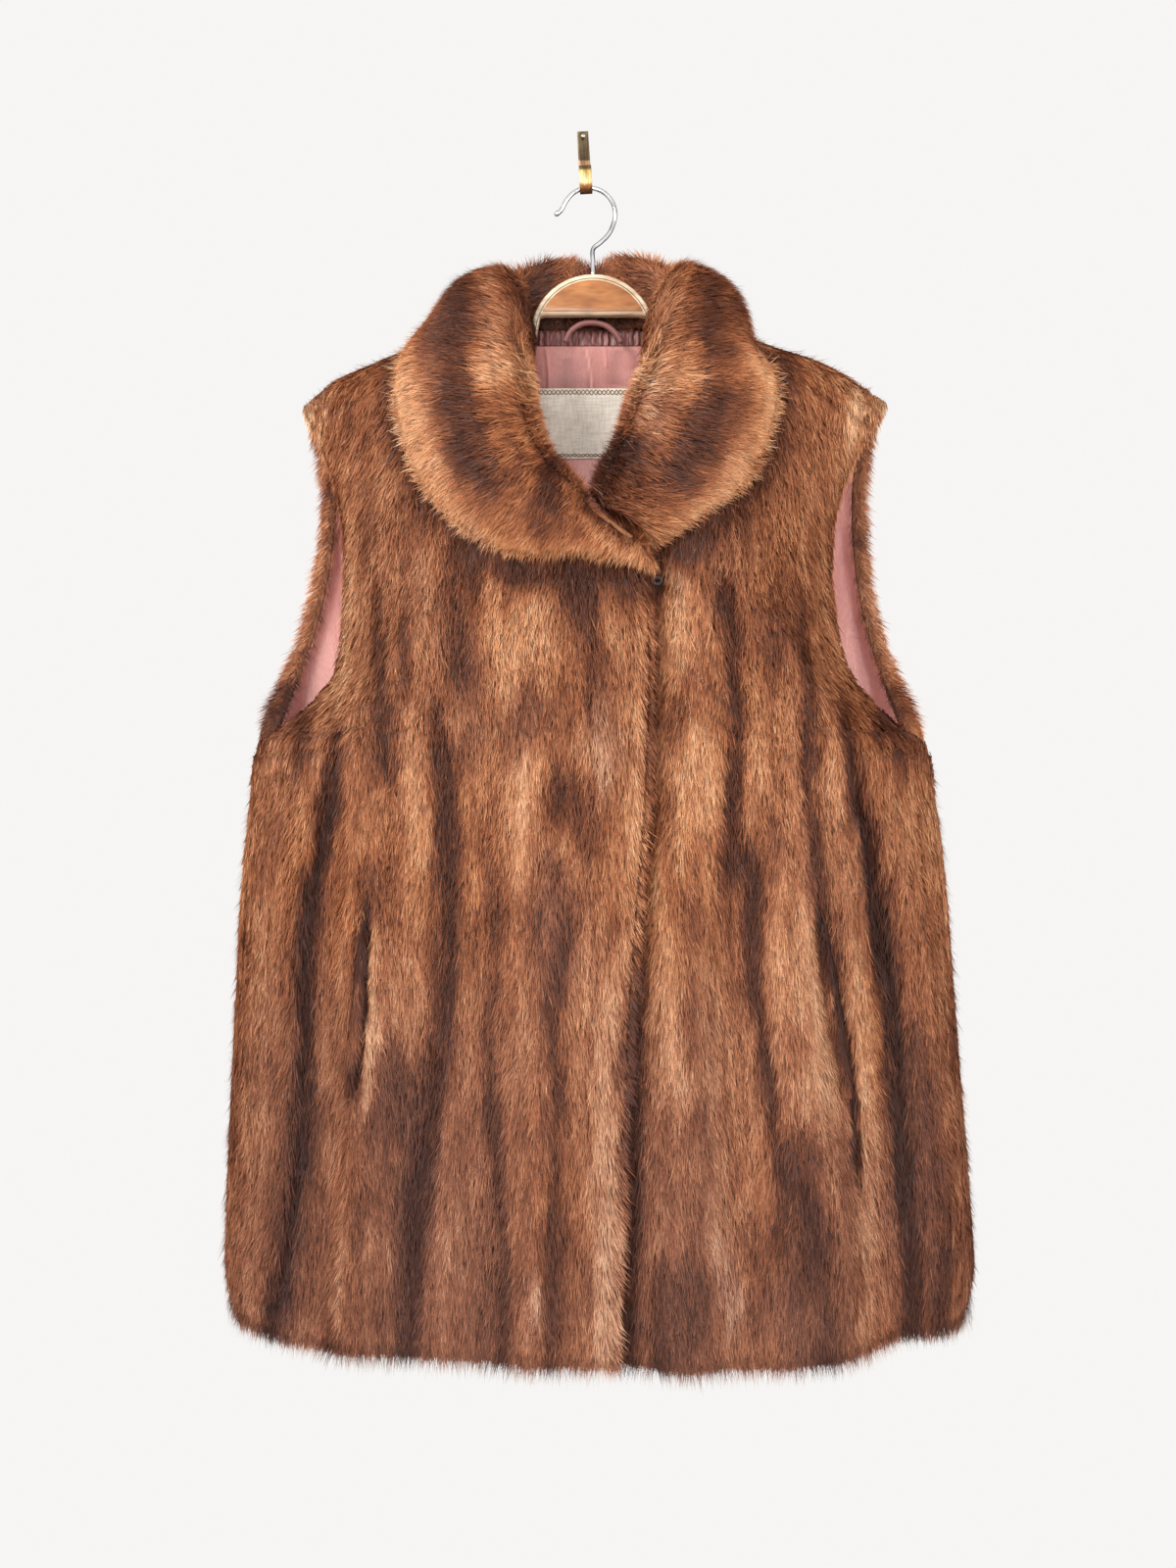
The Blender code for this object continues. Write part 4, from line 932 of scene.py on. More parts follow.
def hair_mesh(name, roots, normal, flow, length, rise, width, attributes, look, rng):
    """Joined hairs, each a long triangle that is wide at its root and ends in a point."""
    count = len(roots)
    lift = np.clip(rise / length, 0.02, 0.9)
    way = flow * np.sqrt(1 - lift ** 2)[:, None] + normal * lift[:, None]
    across = turned(unit(np.cross(flow, normal)), flow, 0.5 * rng.standard_normal(count))
    half = across * (width / 2)[:, None]
    points = np.stack([roots - half, roots + half, roots + way * length[:, None]], 1).reshape(-1, 3)
    near = np.maximum(points[:, 1] + WALL_NEAR, 0)
    room = WALL_NEAR + 0.5 * MM
    points[:, 1] += room * (1 - np.exp(-near / room)) - near
    facing = np.cross(across, way)
    outward = (facing * normal).sum(1) > 0
    start = np.arange(count)[:, None] * 3
    order = np.where(outward[:, None], (0, 1, 2), (1, 0, 2))
    mesh = bpy.data.meshes.new(name)
    mesh.vertices.add(3 * count)
    mesh.vertices.foreach_set("co", points.astype(np.float32).ravel())
    mesh.loops.add(3 * count)
    mesh.loops.foreach_set("vertex_index", (start + order).astype(np.int32).ravel())
    mesh.polygons.add(count)
    mesh.polygons.foreach_set("loop_start", np.arange(0, 3 * count, 3, dtype=np.int32))
    mesh.polygons.foreach_set("use_smooth", np.ones(count, bool))
    mesh.update()
    facing *= np.where(outward, 1, -1)[:, None]
    shown = unit(0.80 * normal + 0.30 * facing + 0.28 * rng.standard_normal((count, 3)))
    mesh.normals_split_custom_set_from_vertices(np.repeat(shown, 3, axis=0).astype(np.float32))
    for key, value in attributes.items():
        made = mesh.attributes.new(key, "FLOAT", "POINT")
        made.data.foreach_set("value", np.asarray(value, np.float32).ravel())
    bake_map(mesh, points)
    mesh.materials.append(look)
    made = bpy.data.objects.new(name, mesh)
    bpy.context.scene.collection.objects.link(made)
    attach(made, "root")
    return made


def skin_of(wall, name, points, looks, tone, mauve):
    """The fine mesh that takes a packed wall's place, with the pelt's tones kept on its points."""
    slots = np.where(wall.side == INNER, 1, 0) if len(looks) > 1 else None
    made = new_object(name, points, wall.triangles, looks, slots)
    made.data.set_sharp_from_angle(angle=math.radians(50))
    for key, value in (("tone", tone), ("mauve", mauve)):
        kept = made.data.attributes.new(key, "FLOAT", "POINT")
        kept.data.foreach_set("value", np.asarray(value, np.float32))
    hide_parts(wall.name)
    return made


def skin(wall, looks, bend, tone, mauve):
    """The wall under the hair: bent by its creases, with the outer face let down by the hair's depth."""
    depth = np.minimum(FUR_DEPTH_SHARE * wall.thick, FUR_DEPTH_MOST)
    outer = wall.kind == OUTER
    points = rounded(wall.points - wall.normal * np.where(outer, depth + bend, -bend)[:, None])
    points += pulled(wall.points, COLLAR_PULLS if wall.name == "collar" else BODY_PULLS)
    return skin_of(wall, wall.name + "_skin", points, looks, tone, mauve)


def hair_attributes(tone, mauve, rng):
    """tone, mauve and along for the three points of each hair."""
    count = len(tone)
    tone = tone + 0.11 * rng.standard_normal(count)
    return {"tone": np.repeat(tone, 3), "mauve": np.repeat(np.clip(mauve, 0, 1), 3),
            "along": np.tile(np.array([0.0, 0.0, 1.0]), count)}


def along_bins(at, places, values, choose, none):
    """The middles between the steps at, and what choose makes of the values whose places lie between them."""
    group = np.clip(np.digitize(places, at), 1, len(at) - 1)
    found = [choose(values[group == k]) if (group == k).any() else none for k in range(1, len(at))]
    return (at[:-1] + at[1:]) / 2, found


def hem_height(wall, x):
    """The height of a wall's hem at places across it."""
    at = np.linspace(wall.points[:, 0].min(), wall.points[:, 0].max(), 41)
    middles, low = along_bins(at, wall.points[:, 0], wall.points[:, 2], np.min, 0)
    return np.interp(x, middles, np.minimum(low, HEM_HIGHEST))


def near_hem(wall, found, count, rng):
    """More places for hairs just above the hem, chosen among those found."""
    points, normal, thick = found
    near = np.flatnonzero(points[:, 2] < hem_height(wall, points[:, 0]) + HEM_ZONE)
    chosen = rng.choice(near, count)
    beside = np.stack([rng.normal(0, 3.0 * MM, count), np.zeros(count), rng.normal(0, 1.2 * MM, count)], 1)
    return points[chosen] + beside, normal[chosen], thick[chosen]


def above_hem(normal):
    """Keeps the rim's hairs off the hem, which hangs bare between the hairs of the outer face."""
    return normal[:, 2] > -0.6


def grow_body(wall, name, counts, look, outward, seed, placed, edge_pull=None, rim_pull=None):
    """The hair of a front or of the back. counts is how many hairs grow on the outer face and on the rim.

    placed is for the fronts, whose bands and folds have places of their own. edge_pull leans the fur of the
    over front towards its free edge, and rim_pull leans the fur of the back's rims in or out.
    """
    rng = np.random.default_rng(SEED + seed)
    on_face, on_rim = scatter(wall, counts[0], rng), scatter(wall, counts[1], rng, above_hem, RIM)
    on_hem = near_hem(wall, on_face, HEM_HAIRS, rng)
    points, normal, thick = (np.concatenate(pair) for pair in zip(on_face, on_rim, on_hem))
    count = len(points)
    guard = np.arange(count) >= counts[0] + counts[1]
    rim = (np.arange(count) >= counts[0]) & ~guard
    depth = np.where(rim, 2.2 * MM, np.minimum(FUR_DEPTH_SHARE * thick, FUR_DEPTH_MOST))
    bend = crease_field(points) if placed else np.zeros(count)
    sunk = depth * rng.uniform(0.55, 1.0, count)
    roots = rounded(points - normal * (sunk + np.where(rim, 0, bend))[:, None]) + pulled(points, BODY_PULLS)
    pull = edge_pull(points) if edge_pull else np.zeros(count)
    if rim_pull:
        pull = np.where(rim, rim_pull(points, rng), pull)
    flow = body_flow(points, normal, rng, pull)
    length = np.clip(rng.normal(*HAIR_LENGTH, count), HAIR_SHORTEST, HAIR_LONGEST)
    stray = ~rim & ((rng.random(count) < 0.13) | guard)
    length *= (1 - 0.40 * droop(points)) * np.where(rim & (rim_pull is None), 0.75, 1.0)
    length *= np.where(stray, rng.uniform(0.6, 1, count), 1)
    room = points[:, 2] - wall.points[:, 2].min() + rng.uniform(0.5, 3.5, count) * MM
    room += np.where(stray, rng.uniform(0, 8, count) * MM, 0)
    length = np.minimum(length, np.maximum(room, 4 * MM))
    length[guard] = rng.uniform(8, 17, HEM_HAIRS) * MM
    lock = 0.5 + 0.5 * noise(points, (0.004, 0.01, 0.022), 33)
    rise = sunk + depth * (0.10 * rng.standard_normal(count) + 0.18 * (lock - 0.5))
    rise = rise + np.where(stray, rng.uniform(0.5, 6.5, count) * MM, 0)
    rise = rise + np.where(rim, rng.uniform(0.8, 3.4 if rim_pull else 2.2, count) * MM, 0)
    width = rng.uniform(0.65, 1.1, count) * np.where(guard, 0.38, np.where(stray, 0.65, 1.0)) * MM
    tone, mauve = body_tones(points, outward, placed)
    tone = tone + 0.10 * (lock - 0.5) - np.where(stray, 0.12, 0)
    # Painted shade at the back's armhole edges: rim hairs darker, most those leaning in over the lining, darker
    # by its edge.
    if rim_pull:
        leans_in = pull * np.sign(CENTRE_X - points[:, 0]) > 0
        tone -= np.where(rim, np.where(leans_in & (points[:, 2] > ARMPIT_Z), 0.34, 0.08), 0)
        gap = np.exp(-((np.maximum(past_lining(points), 0) / (8 * MM)) ** 2))
        tone -= np.where(rim & beside_armhole(points), 0.40 * gap, 0)
    shown = off_fur_eye(points) if placed else np.ones(count, bool)
    attributes = hair_attributes(tone, mauve, rng)
    attributes = {key: value.reshape(-1, 3)[shown].ravel() for key, value in attributes.items()}
    return hair_mesh(name, roots[shown], normal[shown], flow[shown], length[shown], rise[shown], width[shown],
                     attributes, look, rng)


def past_lining(points):
    """How far out places are from the lining's edge at the same height."""
    cloth_points, _ = read_node("back_lining")
    side = np.sign(points[:, 0] - CENTRE_X)
    edge = np.zeros(len(points))
    heights = np.linspace(-0.60, -0.25, 36)
    for way in (-1, 1):
        out = way * (cloth_points[:, 0] - CENTRE_X)
        inside = (out > 0) & (cloth_points[:, 2] >= heights[0]) & (cloth_points[:, 2] < heights[-1])
        middles, reach = along_bins(heights, cloth_points[inside, 2], out[inside], np.max, 0.2)
        edge = np.where(side == way, np.interp(points[:, 2], middles, reach), edge)
    return np.abs(points[:, 0] - CENTRE_X) - edge


def beside_armhole(points):
    return (points[:, 2] > ARMHOLE_REACH[0]) & (points[:, 2] < ARMHOLE_REACH[1])


def grow_facing(wall, name, count, look, seed):
    """The fur turned in over the back's armhole edges, from the rim to the edge of the lining, in painted shade
    by that edge.
    """
    rng = np.random.default_rng(SEED + seed)
    points, normal, _ = scatter(wall, count, rng, side=INNER)
    past = past_lining(points)
    kept = beside_armhole(points) & (past > 3 * MM) & (np.abs(points[:, 0] - CENTRE_X) > ARMHOLE_INSIDE)
    points, normal, past = points[kept], normal[kept], past[kept]
    count = len(points)
    flow = body_flow(points, normal, rng, 1.3 * np.sign(points[:, 0] - CENTRE_X))
    tone, mauve = body_tones(points, -1, False)
    # painted shade, darkest by the lining's edge
    tone = tone - 0.12 - 0.45 * np.exp(-((past / (5 * MM)) ** 2))
    return hair_mesh(name, points - normal * 0.5 * MM, normal, flow, rng.uniform(6, 10, count) * MM,
                     rng.uniform(1.0, 4.0, count) * MM, rng.uniform(0.65, 1.0, count) * MM,
                     hair_attributes(tone, mauve, rng), look, rng)


def off_fur_eye(points):
    """Everywhere but round the fur eye, which lies bare on the under front."""
    x, z = (points[:, 0] - FUR_EYE[0]) / (5.5 * MM), (points[:, 2] - FUR_EYE[1]) / (11 * MM)
    return x ** 2 + z ** 2 > 1


def grow_welt(node, look, under, toward, seed):
    """A pocket's welt: the skin of the welt, and hair that lies over it and a little across the slit."""
    wall = Wall(node, front_away, 2)
    rng = np.random.default_rng(SEED + seed)
    points, normal, _ = scatter(wall, 3200, rng)
    count = len(points)
    middle = np.interp(-points[:, 2], *welt_line(wall))
    share = toward * (points[:, 0] - middle) / (3.5 * MM)
    few = rng.random(count) < np.where(share > -0.25, 1.0, 0.16)
    points, normal, share = points[few], normal[few], share[few]
    count = len(points)
    flow = body_flow(points, normal, rng, np.full(count, 0.22 * toward))
    length = np.clip(rng.normal(14, 2.5, count), 8, 20) * MM
    length = np.minimum(length, points[:, 2] - wall.points[:, 2].min() + 4 * MM)
    rise = rng.uniform(0.5, 2.6, count) * MM
    tone, mauve = body_tones(points, 1, True)
    width = rng.uniform(0.6, 1.0, count) * MM
    length = np.maximum(length, 4 * MM)
    fur = hair_mesh(node + "_fur", points - normal * 0.4 * MM, normal, flow, length, rise, width,
                    hair_attributes(tone + 0.05 * share, mauve, rng), look, rng)
    tone, mauve = body_tones(wall.points, 1, True)
    return skin_of(wall, node + "_skin", wall.points, [under], tone - 0.45, mauve), fur


def welt_line(wall):
    """Heights below the nail, from the top down, and X of the middle of a welt there."""
    order = np.argsort(-wall.points[:, 2])
    groups = np.array_split(order, 12)
    return [-wall.points[g, 2].mean() for g in groups], [wall.points[g, 0].mean() for g in groups]


# The two feet of the collar's roll, from its over end round the neck to its under end: x, distance from the
# room's wall and z, in millimetres.
COLLAR_FEET = {
    "inner": ((48, 118, -358), (20, 112, -324), (-5, 106, -300), (-24, 94, -280), (-35, 80, -248),
              (-38, 68, -208), (-38, 54, -176), (-46, 40, -149), (-42, 24, -156), (-14, 22, -162),
              (8, 22, -162), (30, 22, -162), (58, 24, -156), (62, 40, -149), (50, 54, -172),
              (46, 68, -206), (41, 80, -240), (36, 90, -276), (31, 98, -302), (27, 100, -316)),
    "outer": ((53, 120, -377), (12, 118, -370), (-38, 116, -364), (-84, 110, -343), (-122, 96, -303),
              (-141, 84, -250), (-143, 70, -208), (-128, 42, -168), (-104, 4, -176), (-56, 1, -184),
              (8, 1, -188), (72, 1, -184), (120, 4, -176), (144, 42, -168), (151, 70, -206),
              (147, 84, -246), (128, 96, -296), (96, 106, -331), (70, 108, -348), (52, 108, -354)),
}


def foot_line(key):
    rows = np.array(COLLAR_FEET[key], float) * (MM, -MM, MM)
    at = np.linspace(0, len(rows) - 1, 300)
    return np.stack([np.interp(at, np.arange(len(rows)), rows[:, k]) for k in range(3)], 1)


def nearest_on(line, points):
    """The point of a line nearest to each point."""
    made = np.empty_like(points)
    for start in range(0, len(points), 20000):
        some = points[start:start + 20000]
        far = ((some[:, None, :] - line[None, :, :]) ** 2).sum(2)
        made[start:start + 20000] = line[far.argmin(1)]
    return made


def collar_across(points):
    """From 0 at the roll's inner foot to 1 at its outer foot, and the way between the feet at a place."""
    inner = nearest_on(foot_line("inner"), points) - points
    outer = nearest_on(foot_line("outer"), points) - points
    near, far = np.linalg.norm(inner, axis=1), np.linalg.norm(outer, axis=1)
    return near / (near + far + 1e-9), unit(outer) - unit(inner)


# Lighter and darker places of the collar in the front view, with the columns of BANDS.
COLLAR_BANDS = (
    # col_top, row_top, col_foot, row_foot, bow, half_wide, lighter, greyer
    (470, 280, 448, 335, 0, 16, -0.14, 0.35),
    (505, 280, 512, 400, 0, 13, 0.12, 0.15),
    (536, 400, 545, 470, 0, 10, 0.10, 0.0),
    (425, 360, 430, 470, -8, 13, 0.10, 0.0),
    (445, 500, 520, 552, -8, 16, 0.10, 0.0),
    (490, 540, 492, 552, 0, 10, 0.06, 0.60),
    (556, 500, 560, 535, 0, 16, -0.14, 0.0),
    (600, 515, 650, 560, 0, 14, 0.18, 0.0),
    (580, 250, 600, 275, 0, 26, -0.10, 0.0),
    (650, 275, 655, 300, 0, 8, -0.16, 0.0),
    (672, 270, 668, 340, 0, 14, 0.12, 0.20),
    (668, 390, 672, 440, 0, 18, 0.12, 0.35),
    (690, 484, 700, 498, 0, 28, -0.22, 0.0),
    (768, 330, 778, 440, 6, 10, 0.10, 0.0),
    (752, 470, 700, 532, 8, 12, 0.12, 0.0),
)

# Folds of the collar and places under the hanger, darkened with painted shade, with the columns of FOLDS.
COLLAR_FOLDS = (
    # half width, painted shade, depth, places
    (19, 0.46, 0, ((490, 262), (476, 309), (474, 345), (473, 381), (472, 410), (479, 435), (482, 458),
                   (497, 480), (516, 512))),
    (17, 0.36, 0, ((712, 262), (717, 309), (715, 340), (722, 370), (726, 400), (716, 429), (706, 453),
                   (686, 492))),
    (9, 0.36, 0, ((565, 462), (570, 520))),
    (17, 0.50, 0, ((660, 435), (645, 470), (612, 520))),
    (8, 0.22, 0, ((745, 330), (747, 380))),
    (10, 0.24, 0, ((550, 268), (541, 330))),
    (9, 0.20, 0, ((632, 500), (652, 560))),
    (15, 0.60, 0, ((556, 316), (558, 352))),
    (34, 0.45, 0, ((607, 316), (607, 352))),
)


def collar_tones(points):
    """Tone and mauve of the collar's fur: a pale outer rim, clouds, placed bands and painted shade."""
    share, _ = collar_across(points)
    tone = 0.42 + 0.09 * noise(points, (0.04, 0.04, 0.05), 43)
    tone += 0.07 * noise(points, (0.013, 0.013, 0.018), 44) + 0.05 * noise(points, (0.005, 0.005, 0.007), 46)
    columns, rows = seen(points)
    edge_columns, edge_rows = seen(foot_line("outer"))
    from_edge = np.full(len(points), 1e9)
    for column, row in zip(edge_columns[::4], edge_rows[::4]):
        from_edge = np.minimum(from_edge, np.hypot(columns - column, rows - row))
    pale = np.exp(-((np.maximum(from_edge - 8, 0) / 22) ** 2)) * ease((rows - 330) / 60)
    tone += 0.24 * pale + 0.08 * ease((share - 0.6) / 0.2) * (1 - pale)
    lighter, greyer = band_field(points, COLLAR_BANDS)
    mauve = 0.05 + 0.12 * noise(points, (0.05, 0.05, 0.06), 45) + greyer
    # painted shade in the collar's folds and under the hanger
    tone += lighter - fold_field(points, COLLAR_FOLDS)[0]
    return held_in(0.49 + CONTRAST * (tone - 0.49), 0.18, 0.70), np.clip(mauve, 0, 0.5)


def grow_collar(wall, name, count, look, seed):
    """The collar's hair: from the inner foot out over the roll to its outer edge."""
    rng = np.random.default_rng(SEED + seed)
    points, normal, thick = scatter(wall, count, rng)
    depth = np.minimum(FUR_DEPTH_SHARE * thick, FUR_DEPTH_MOST)
    sunk = depth * rng.uniform(0.55, 1.0, count)
    roots = points - normal * sunk[:, None] + pulled(points, COLLAR_PULLS)
    share, way = collar_across(points)
    way *= np.where(rng.random(count) < ease((share - 0.16) / 0.14), 1, -1)[:, None]
    way = unit(way - (way * normal).sum(1)[:, None] * normal)
    swing = 0.20 * noise(points, (0.04, 0.04, 0.04), 41) + 0.20 * noise(points, (0.008, 0.008, 0.008), 42)
    flow = turned(way, normal, swing + HAIR_SWAY * rng.standard_normal(count))
    length = np.clip(rng.normal(*HAIR_LENGTH, count), HAIR_SHORTEST, HAIR_LONGEST)
    stray = rng.random(count) < 0.14
    length = length * np.where(stray, rng.uniform(0.6, 1, count), 1)
    lock = 0.5 + 0.5 * noise(points, (0.007, 0.007, 0.007), 47)
    rise = sunk + depth * (0.12 * rng.standard_normal(count) + 0.22 * (lock - 0.4))
    rise = rise + np.where(stray, rng.uniform(1, 8, count) * MM, 0)
    width = rng.uniform(0.65, 1.1, count) * np.where(stray, 0.65, 1.0) * MM
    tone, mauve = collar_tones(points)
    tone = tone + 0.10 * (lock - 0.5) - np.where(stray, 0.08, 0)
    return hair_mesh(name, roots, normal, flow, length, rise, width,
                     hair_attributes(tone, mauve, rng), look, rng)


# ---------------------------------------------------------------- small parts


def finish_solid(node, look, bevel=0.0, subdivide=0, sharp=40):
    """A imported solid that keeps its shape, with smooth shading, softened edges and a material."""
    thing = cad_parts[node]
    thing.data.materials.clear()
    thing.data.materials.append(look)
    weld = thing.modifiers.new("weld", "WELD")
    weld.merge_threshold = 0.00001
    if bevel:
        soft = thing.modifiers.new("bevel", "BEVEL")
        soft.width = bevel
        soft.segments = 2
        soft.limit_method = "ANGLE"
        soft.angle_limit = math.radians(35)
    if subdivide:
        fine = thing.modifiers.new("subdivide", "SUBSURF")
        fine.levels = subdivide
        fine.render_levels = subdivide
    thing.data.shade_smooth()
    thing.data.set_sharp_from_angle(angle=math.radians(sharp))
    return thing


# ---------------------------------------------------------------- satin, label and threads

# Seams and creases of the satin: X and height in millimetres at the head and the foot of each, the bow of the
# line to the right, the half width, and how far the cloth sinks there (above 0) or stands up.
YOKE_CREASES = (
    # x_head, z_head, x_foot, z_foot, bow, half_width, depth
    (-30.5, -178, -28, -212, 1.0, 0.8, -0.7),
    (-32.5, -178, -30, -212, 1.0, 1.0, 0.4),
    (1.5, -178, 6.5, -212, 1.6, 0.8, -0.8),
    (-0.4, -178, 4.5, -212, 1.6, 0.9, 0.4),
    (17, -178, 19, -194, 0.5, 0.8, -0.5),
    (-14, -186, -16, -212, 2, 7, 0.3),
    (30, -180, 26, -208, -3, 6, 0.35),
    (42, -180, 45, -212, 0, 4, 0.35),
)
LABEL_CREASES = (
    (-14, -245, -10, -268, 1, 2.2, 0.7),
    (2, -248, 0, -268, -1, 2.5, 0.6),
    (14, -240, 10, -268, 1, 2.5, 0.5),
    (-30, -214, -34, -268, 0, 5, 0.5),
)
LINING_CREASES = (
    (-212, -300, -228, -520, -6, 7, 2.2),
    (-190, -320, -176, -640, 8, 12, 2.5),
    (-232, -380, -246, -560, 0, 6, 0.8),
    (-150, -280, -140, -760, 10, 14, 3.0),
    (-95, -290, -105, -820, -8, 13, 2.6),
    (-30, -300, -24, -860, 8, 15, 3.0),
    (42, -290, 52, -800, -6, 12, 2.8),
    (108, -280, 98, -840, 6, 14, 3.0),
    (160, -300, 172, -700, -8, 12, 2.6),
    (206, -320, 222, -500, 4, 7, 1.2),
    (222, -400, 246, -474, -4, 3.5, 1.0),
    (236, -360, 262, -470, 3, 4, 0.5),
)
LOOP = ((-15, -29.5, -175), (-9, -30, -165.5), (0, -30.5, -160.6), (9, -30.5, -159.9), (19, -30.3, -162.5),
        (27, -30, -169), (31, -29.5, -175.5))
LOOP_RADIUS = 2.3 * MM
LABEL_TOP, LABEL_FOOT = -212.4 * MM, -269.4 * MM
LABEL_SPAN = (-65 * MM, 51 * MM)
STITCH_PITCH = 6.8 * MM
STITCH_BAND = 4.6 * MM


def sink(points, table):
    """How far the cloth sinks at places, from a table of creases."""
    total = np.zeros(len(points))
    for x_head, z_head, x_foot, z_foot, bow, half_width, depth in table:
        along = (z_head * MM - points[:, 2]) / ((z_head - z_foot) * MM)
        inside = np.clip(along, 0, 1)
        middle = (x_head + (x_foot - x_head) * inside + bow * np.sin(math.pi * inside)) * MM
        fade = ease(along / 0.06 + 0.5) * ease((1 - along) / 0.06 + 0.5)
        total += fade * depth * MM * np.exp(-(((points[:, 0] - middle) / (half_width * MM)) ** 2))
    return total


def cloth(node, looks, levels, depth_at, shade_at, most=55):
    """A packed cloth wall, finer and with its creases sunk in, as it hangs over what is behind it."""
    wall = Wall(node, front_away, levels, most)
    depth = depth_at(wall.points)
    toward = np.where((wall.kind == OUTER)[:, None], wall.normal, -wall.normal)
    toward[wall.kind == RIM] = (0, -1, 0)
    points = wall.points - toward * depth[:, None]
    made = new_object(node + "_cloth", points, wall.triangles, looks)
    made.data.set_sharp_from_angle(angle=math.radians(60))
    kept = made.data.attributes.new("shade", "FLOAT", "POINT")
    kept.data.foreach_set("value", np.clip(shade_at(wall.points, depth), 0, 1).astype(np.float32))
    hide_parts(node)
    return made


GATHERS = (                         # X of each gather's root in millimetres, and how deep it is
    (-36.5, 0.8), (-32.0, 1.0), (-27.0, 0.7), (-22.5, 1.0), (-18.5, 0.6), (-13.0, 0.9), (-8.0, 0.7),
    (-3.5, 1.0), (1.5, 0.6), (6.0, 0.9), (11.5, 0.8), (16.0, 0.6), (21.5, 1.0), (26.0, 0.7), (31.5, 1.0),
    (37.0, 0.8), (41.5, 0.9), (46.5, 0.7), (51.0, 0.9),
)


def gather_shape(points):
    """From 0 on the puffs of the ruched band to 1 at the roots of its gathers."""
    total = np.zeros(len(points))
    for x, depth in GATHERS:
        middle = (x + 0.5 * np.sin(points[:, 2] / MM * 0.7 + x)) * MM
        total += depth * np.exp(-(((points[:, 0] - middle) / (0.75 * MM)) ** 2))
    return np.clip(total, 0, 1)


def ring_tube(name, route, radii, sides, look, squash=None):
    """A tube along a route of points. squash gives the radius's share at each turn round it."""
    route = np.asarray(route, float)
    along = unit(np.gradient(route, axis=0))
    across = unit(np.cross(along, (0, 1, 0)) + 1e-9)
    outward = unit(np.cross(across, along))
    angles = np.linspace(0, 2 * math.pi, sides, endpoint=False)
    share = np.ones(sides) if squash is None else squash(angles)
    reach = (np.asarray(radii)[:, None] * share[None, :])[..., None]
    ring = across[:, None] * np.cos(angles)[None, :, None] + outward[:, None] * np.sin(angles)[None, :, None]
    points = (route[:, None, :] + reach * ring).reshape(-1, 3)
    count = len(route)
    turn = [(k, (k + 1) % sides) for k in range(sides)]
    faces = [(i * sides + k, i * sides + after, (i + 1) * sides + after, (i + 1) * sides + k)
             for i in range(count - 1) for k, after in turn]
    faces += [tuple(range(sides))[::-1], tuple((count - 1) * sides + k for k in range(sides))]
    made = new_object(name, points, faces, look)
    return made


def smooth_route(points, count):
    """A smooth curve through a short list of points."""
    points = np.array(points, float)
    step = np.concatenate([[0], np.cumsum(np.linalg.norm(np.diff(points, axis=0), axis=1))])
    slope = np.gradient(points, step, axis=0)
    at = np.linspace(0, step[-1], count)
    i = np.clip(np.searchsorted(step, at, side="right") - 1, 0, len(step) - 2)
    span = (step[i + 1] - step[i])[:, None]
    t = (at - step[i])[:, None] / span
    return ((2 * t ** 3 - 3 * t ** 2 + 1) * points[i] + (t ** 3 - 2 * t ** 2 + t) * span * slope[i]
            + (3 * t ** 2 - 2 * t ** 3) * points[i + 1] + (t ** 3 - t ** 2) * span * slope[i + 1])


def satin_loop(look):
    """The hanging loop: a rolled satin tube, a little flat, with a seam sunk along its front."""
    route = smooth_route(np.array(LOOP) * MM, 60)
    radii = LOOP_RADIUS * (0.97 + 0.03 * np.sin(np.arange(60) * 1.1))

    def squash(angles):
        from_seam = (angles + 0.5 * math.pi) % (2 * math.pi) - math.pi
        return 1 - 0.30 * np.exp(-((from_seam / 0.30) ** 2))

    made = ring_tube("satin_loop", route, radii, 20, look, squash)
    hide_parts("hanging_loop")
    return made


def stitches(tree, thread):
    """Two zigzag threads that cross each other along the label's top, and again along its foot."""
    def on_label(x, z):
        hit = tree.ray_cast(Vector((x, -0.2, z)), Vector((0, 1, 0)))
        return (x, hit[0].y - 0.25 * MM, z) if hit[0] is not None else None

    made = []
    for row, middle in enumerate((LABEL_TOP - 3.2 * MM, LABEL_FOOT + 2.6 * MM)):
        band = STITCH_BAND * (1.0, 0.6)[row]
        for turn in (0, 1):
            route = []
            for i in range(int((LABEL_SPAN[1] - LABEL_SPAN[0]) / STITCH_PITCH * 8)):
                x = LABEL_SPAN[0] + i * STITCH_PITCH / 8
                swing = abs((x / STITCH_PITCH + turn * 0.5) % 1.0 * 2 - 1) - 0.5
                place = on_label(x, middle + swing * band + 0.2 * MM * math.sin(x * 700))
                if place:
                    route.append(place)
            radii = np.full(len(route), 0.42 * MM)
            made.append(ring_tube("stitch_%d_%d" % (row, turn), route, radii, 4, thread))
    return made


# ---------------------------------------------------------------- stage


WORLD_LIGHT = 0.62
MIRRORED_TONES = ((0.0, (1.0, 0.99, 0.98)), (0.25, (0.10, 0.10, 0.11)))  # what shiny things mirror
FLOOR_TONES = ((0.3, (0.80, 0.79, 0.78)), (0.7, (0.84, 0.83, 0.82)))
FLOOR_Z, FLOOR_NEAR, FLOOR_FAR, FLOOR_WIDE = -1.45, -2.4, 0.42, 2.0
LAMPS = (
    # name, place, aim, size, watts, colour
    ("key", (-1.7, -1.9, 1.0), (0, -0.05, -0.5), 1.1, 56, (1.0, 0.985, 0.96)),
    ("fill", (1.9, -2.0, -0.1), (0, -0.05, -0.6), 2.0, 26, (0.97, 0.98, 1.0)),
    ("front", (-0.1, -2.6, -0.1), (0, -0.05, -0.5), 1.0, 17, (1.0, 0.99, 0.98)),
)


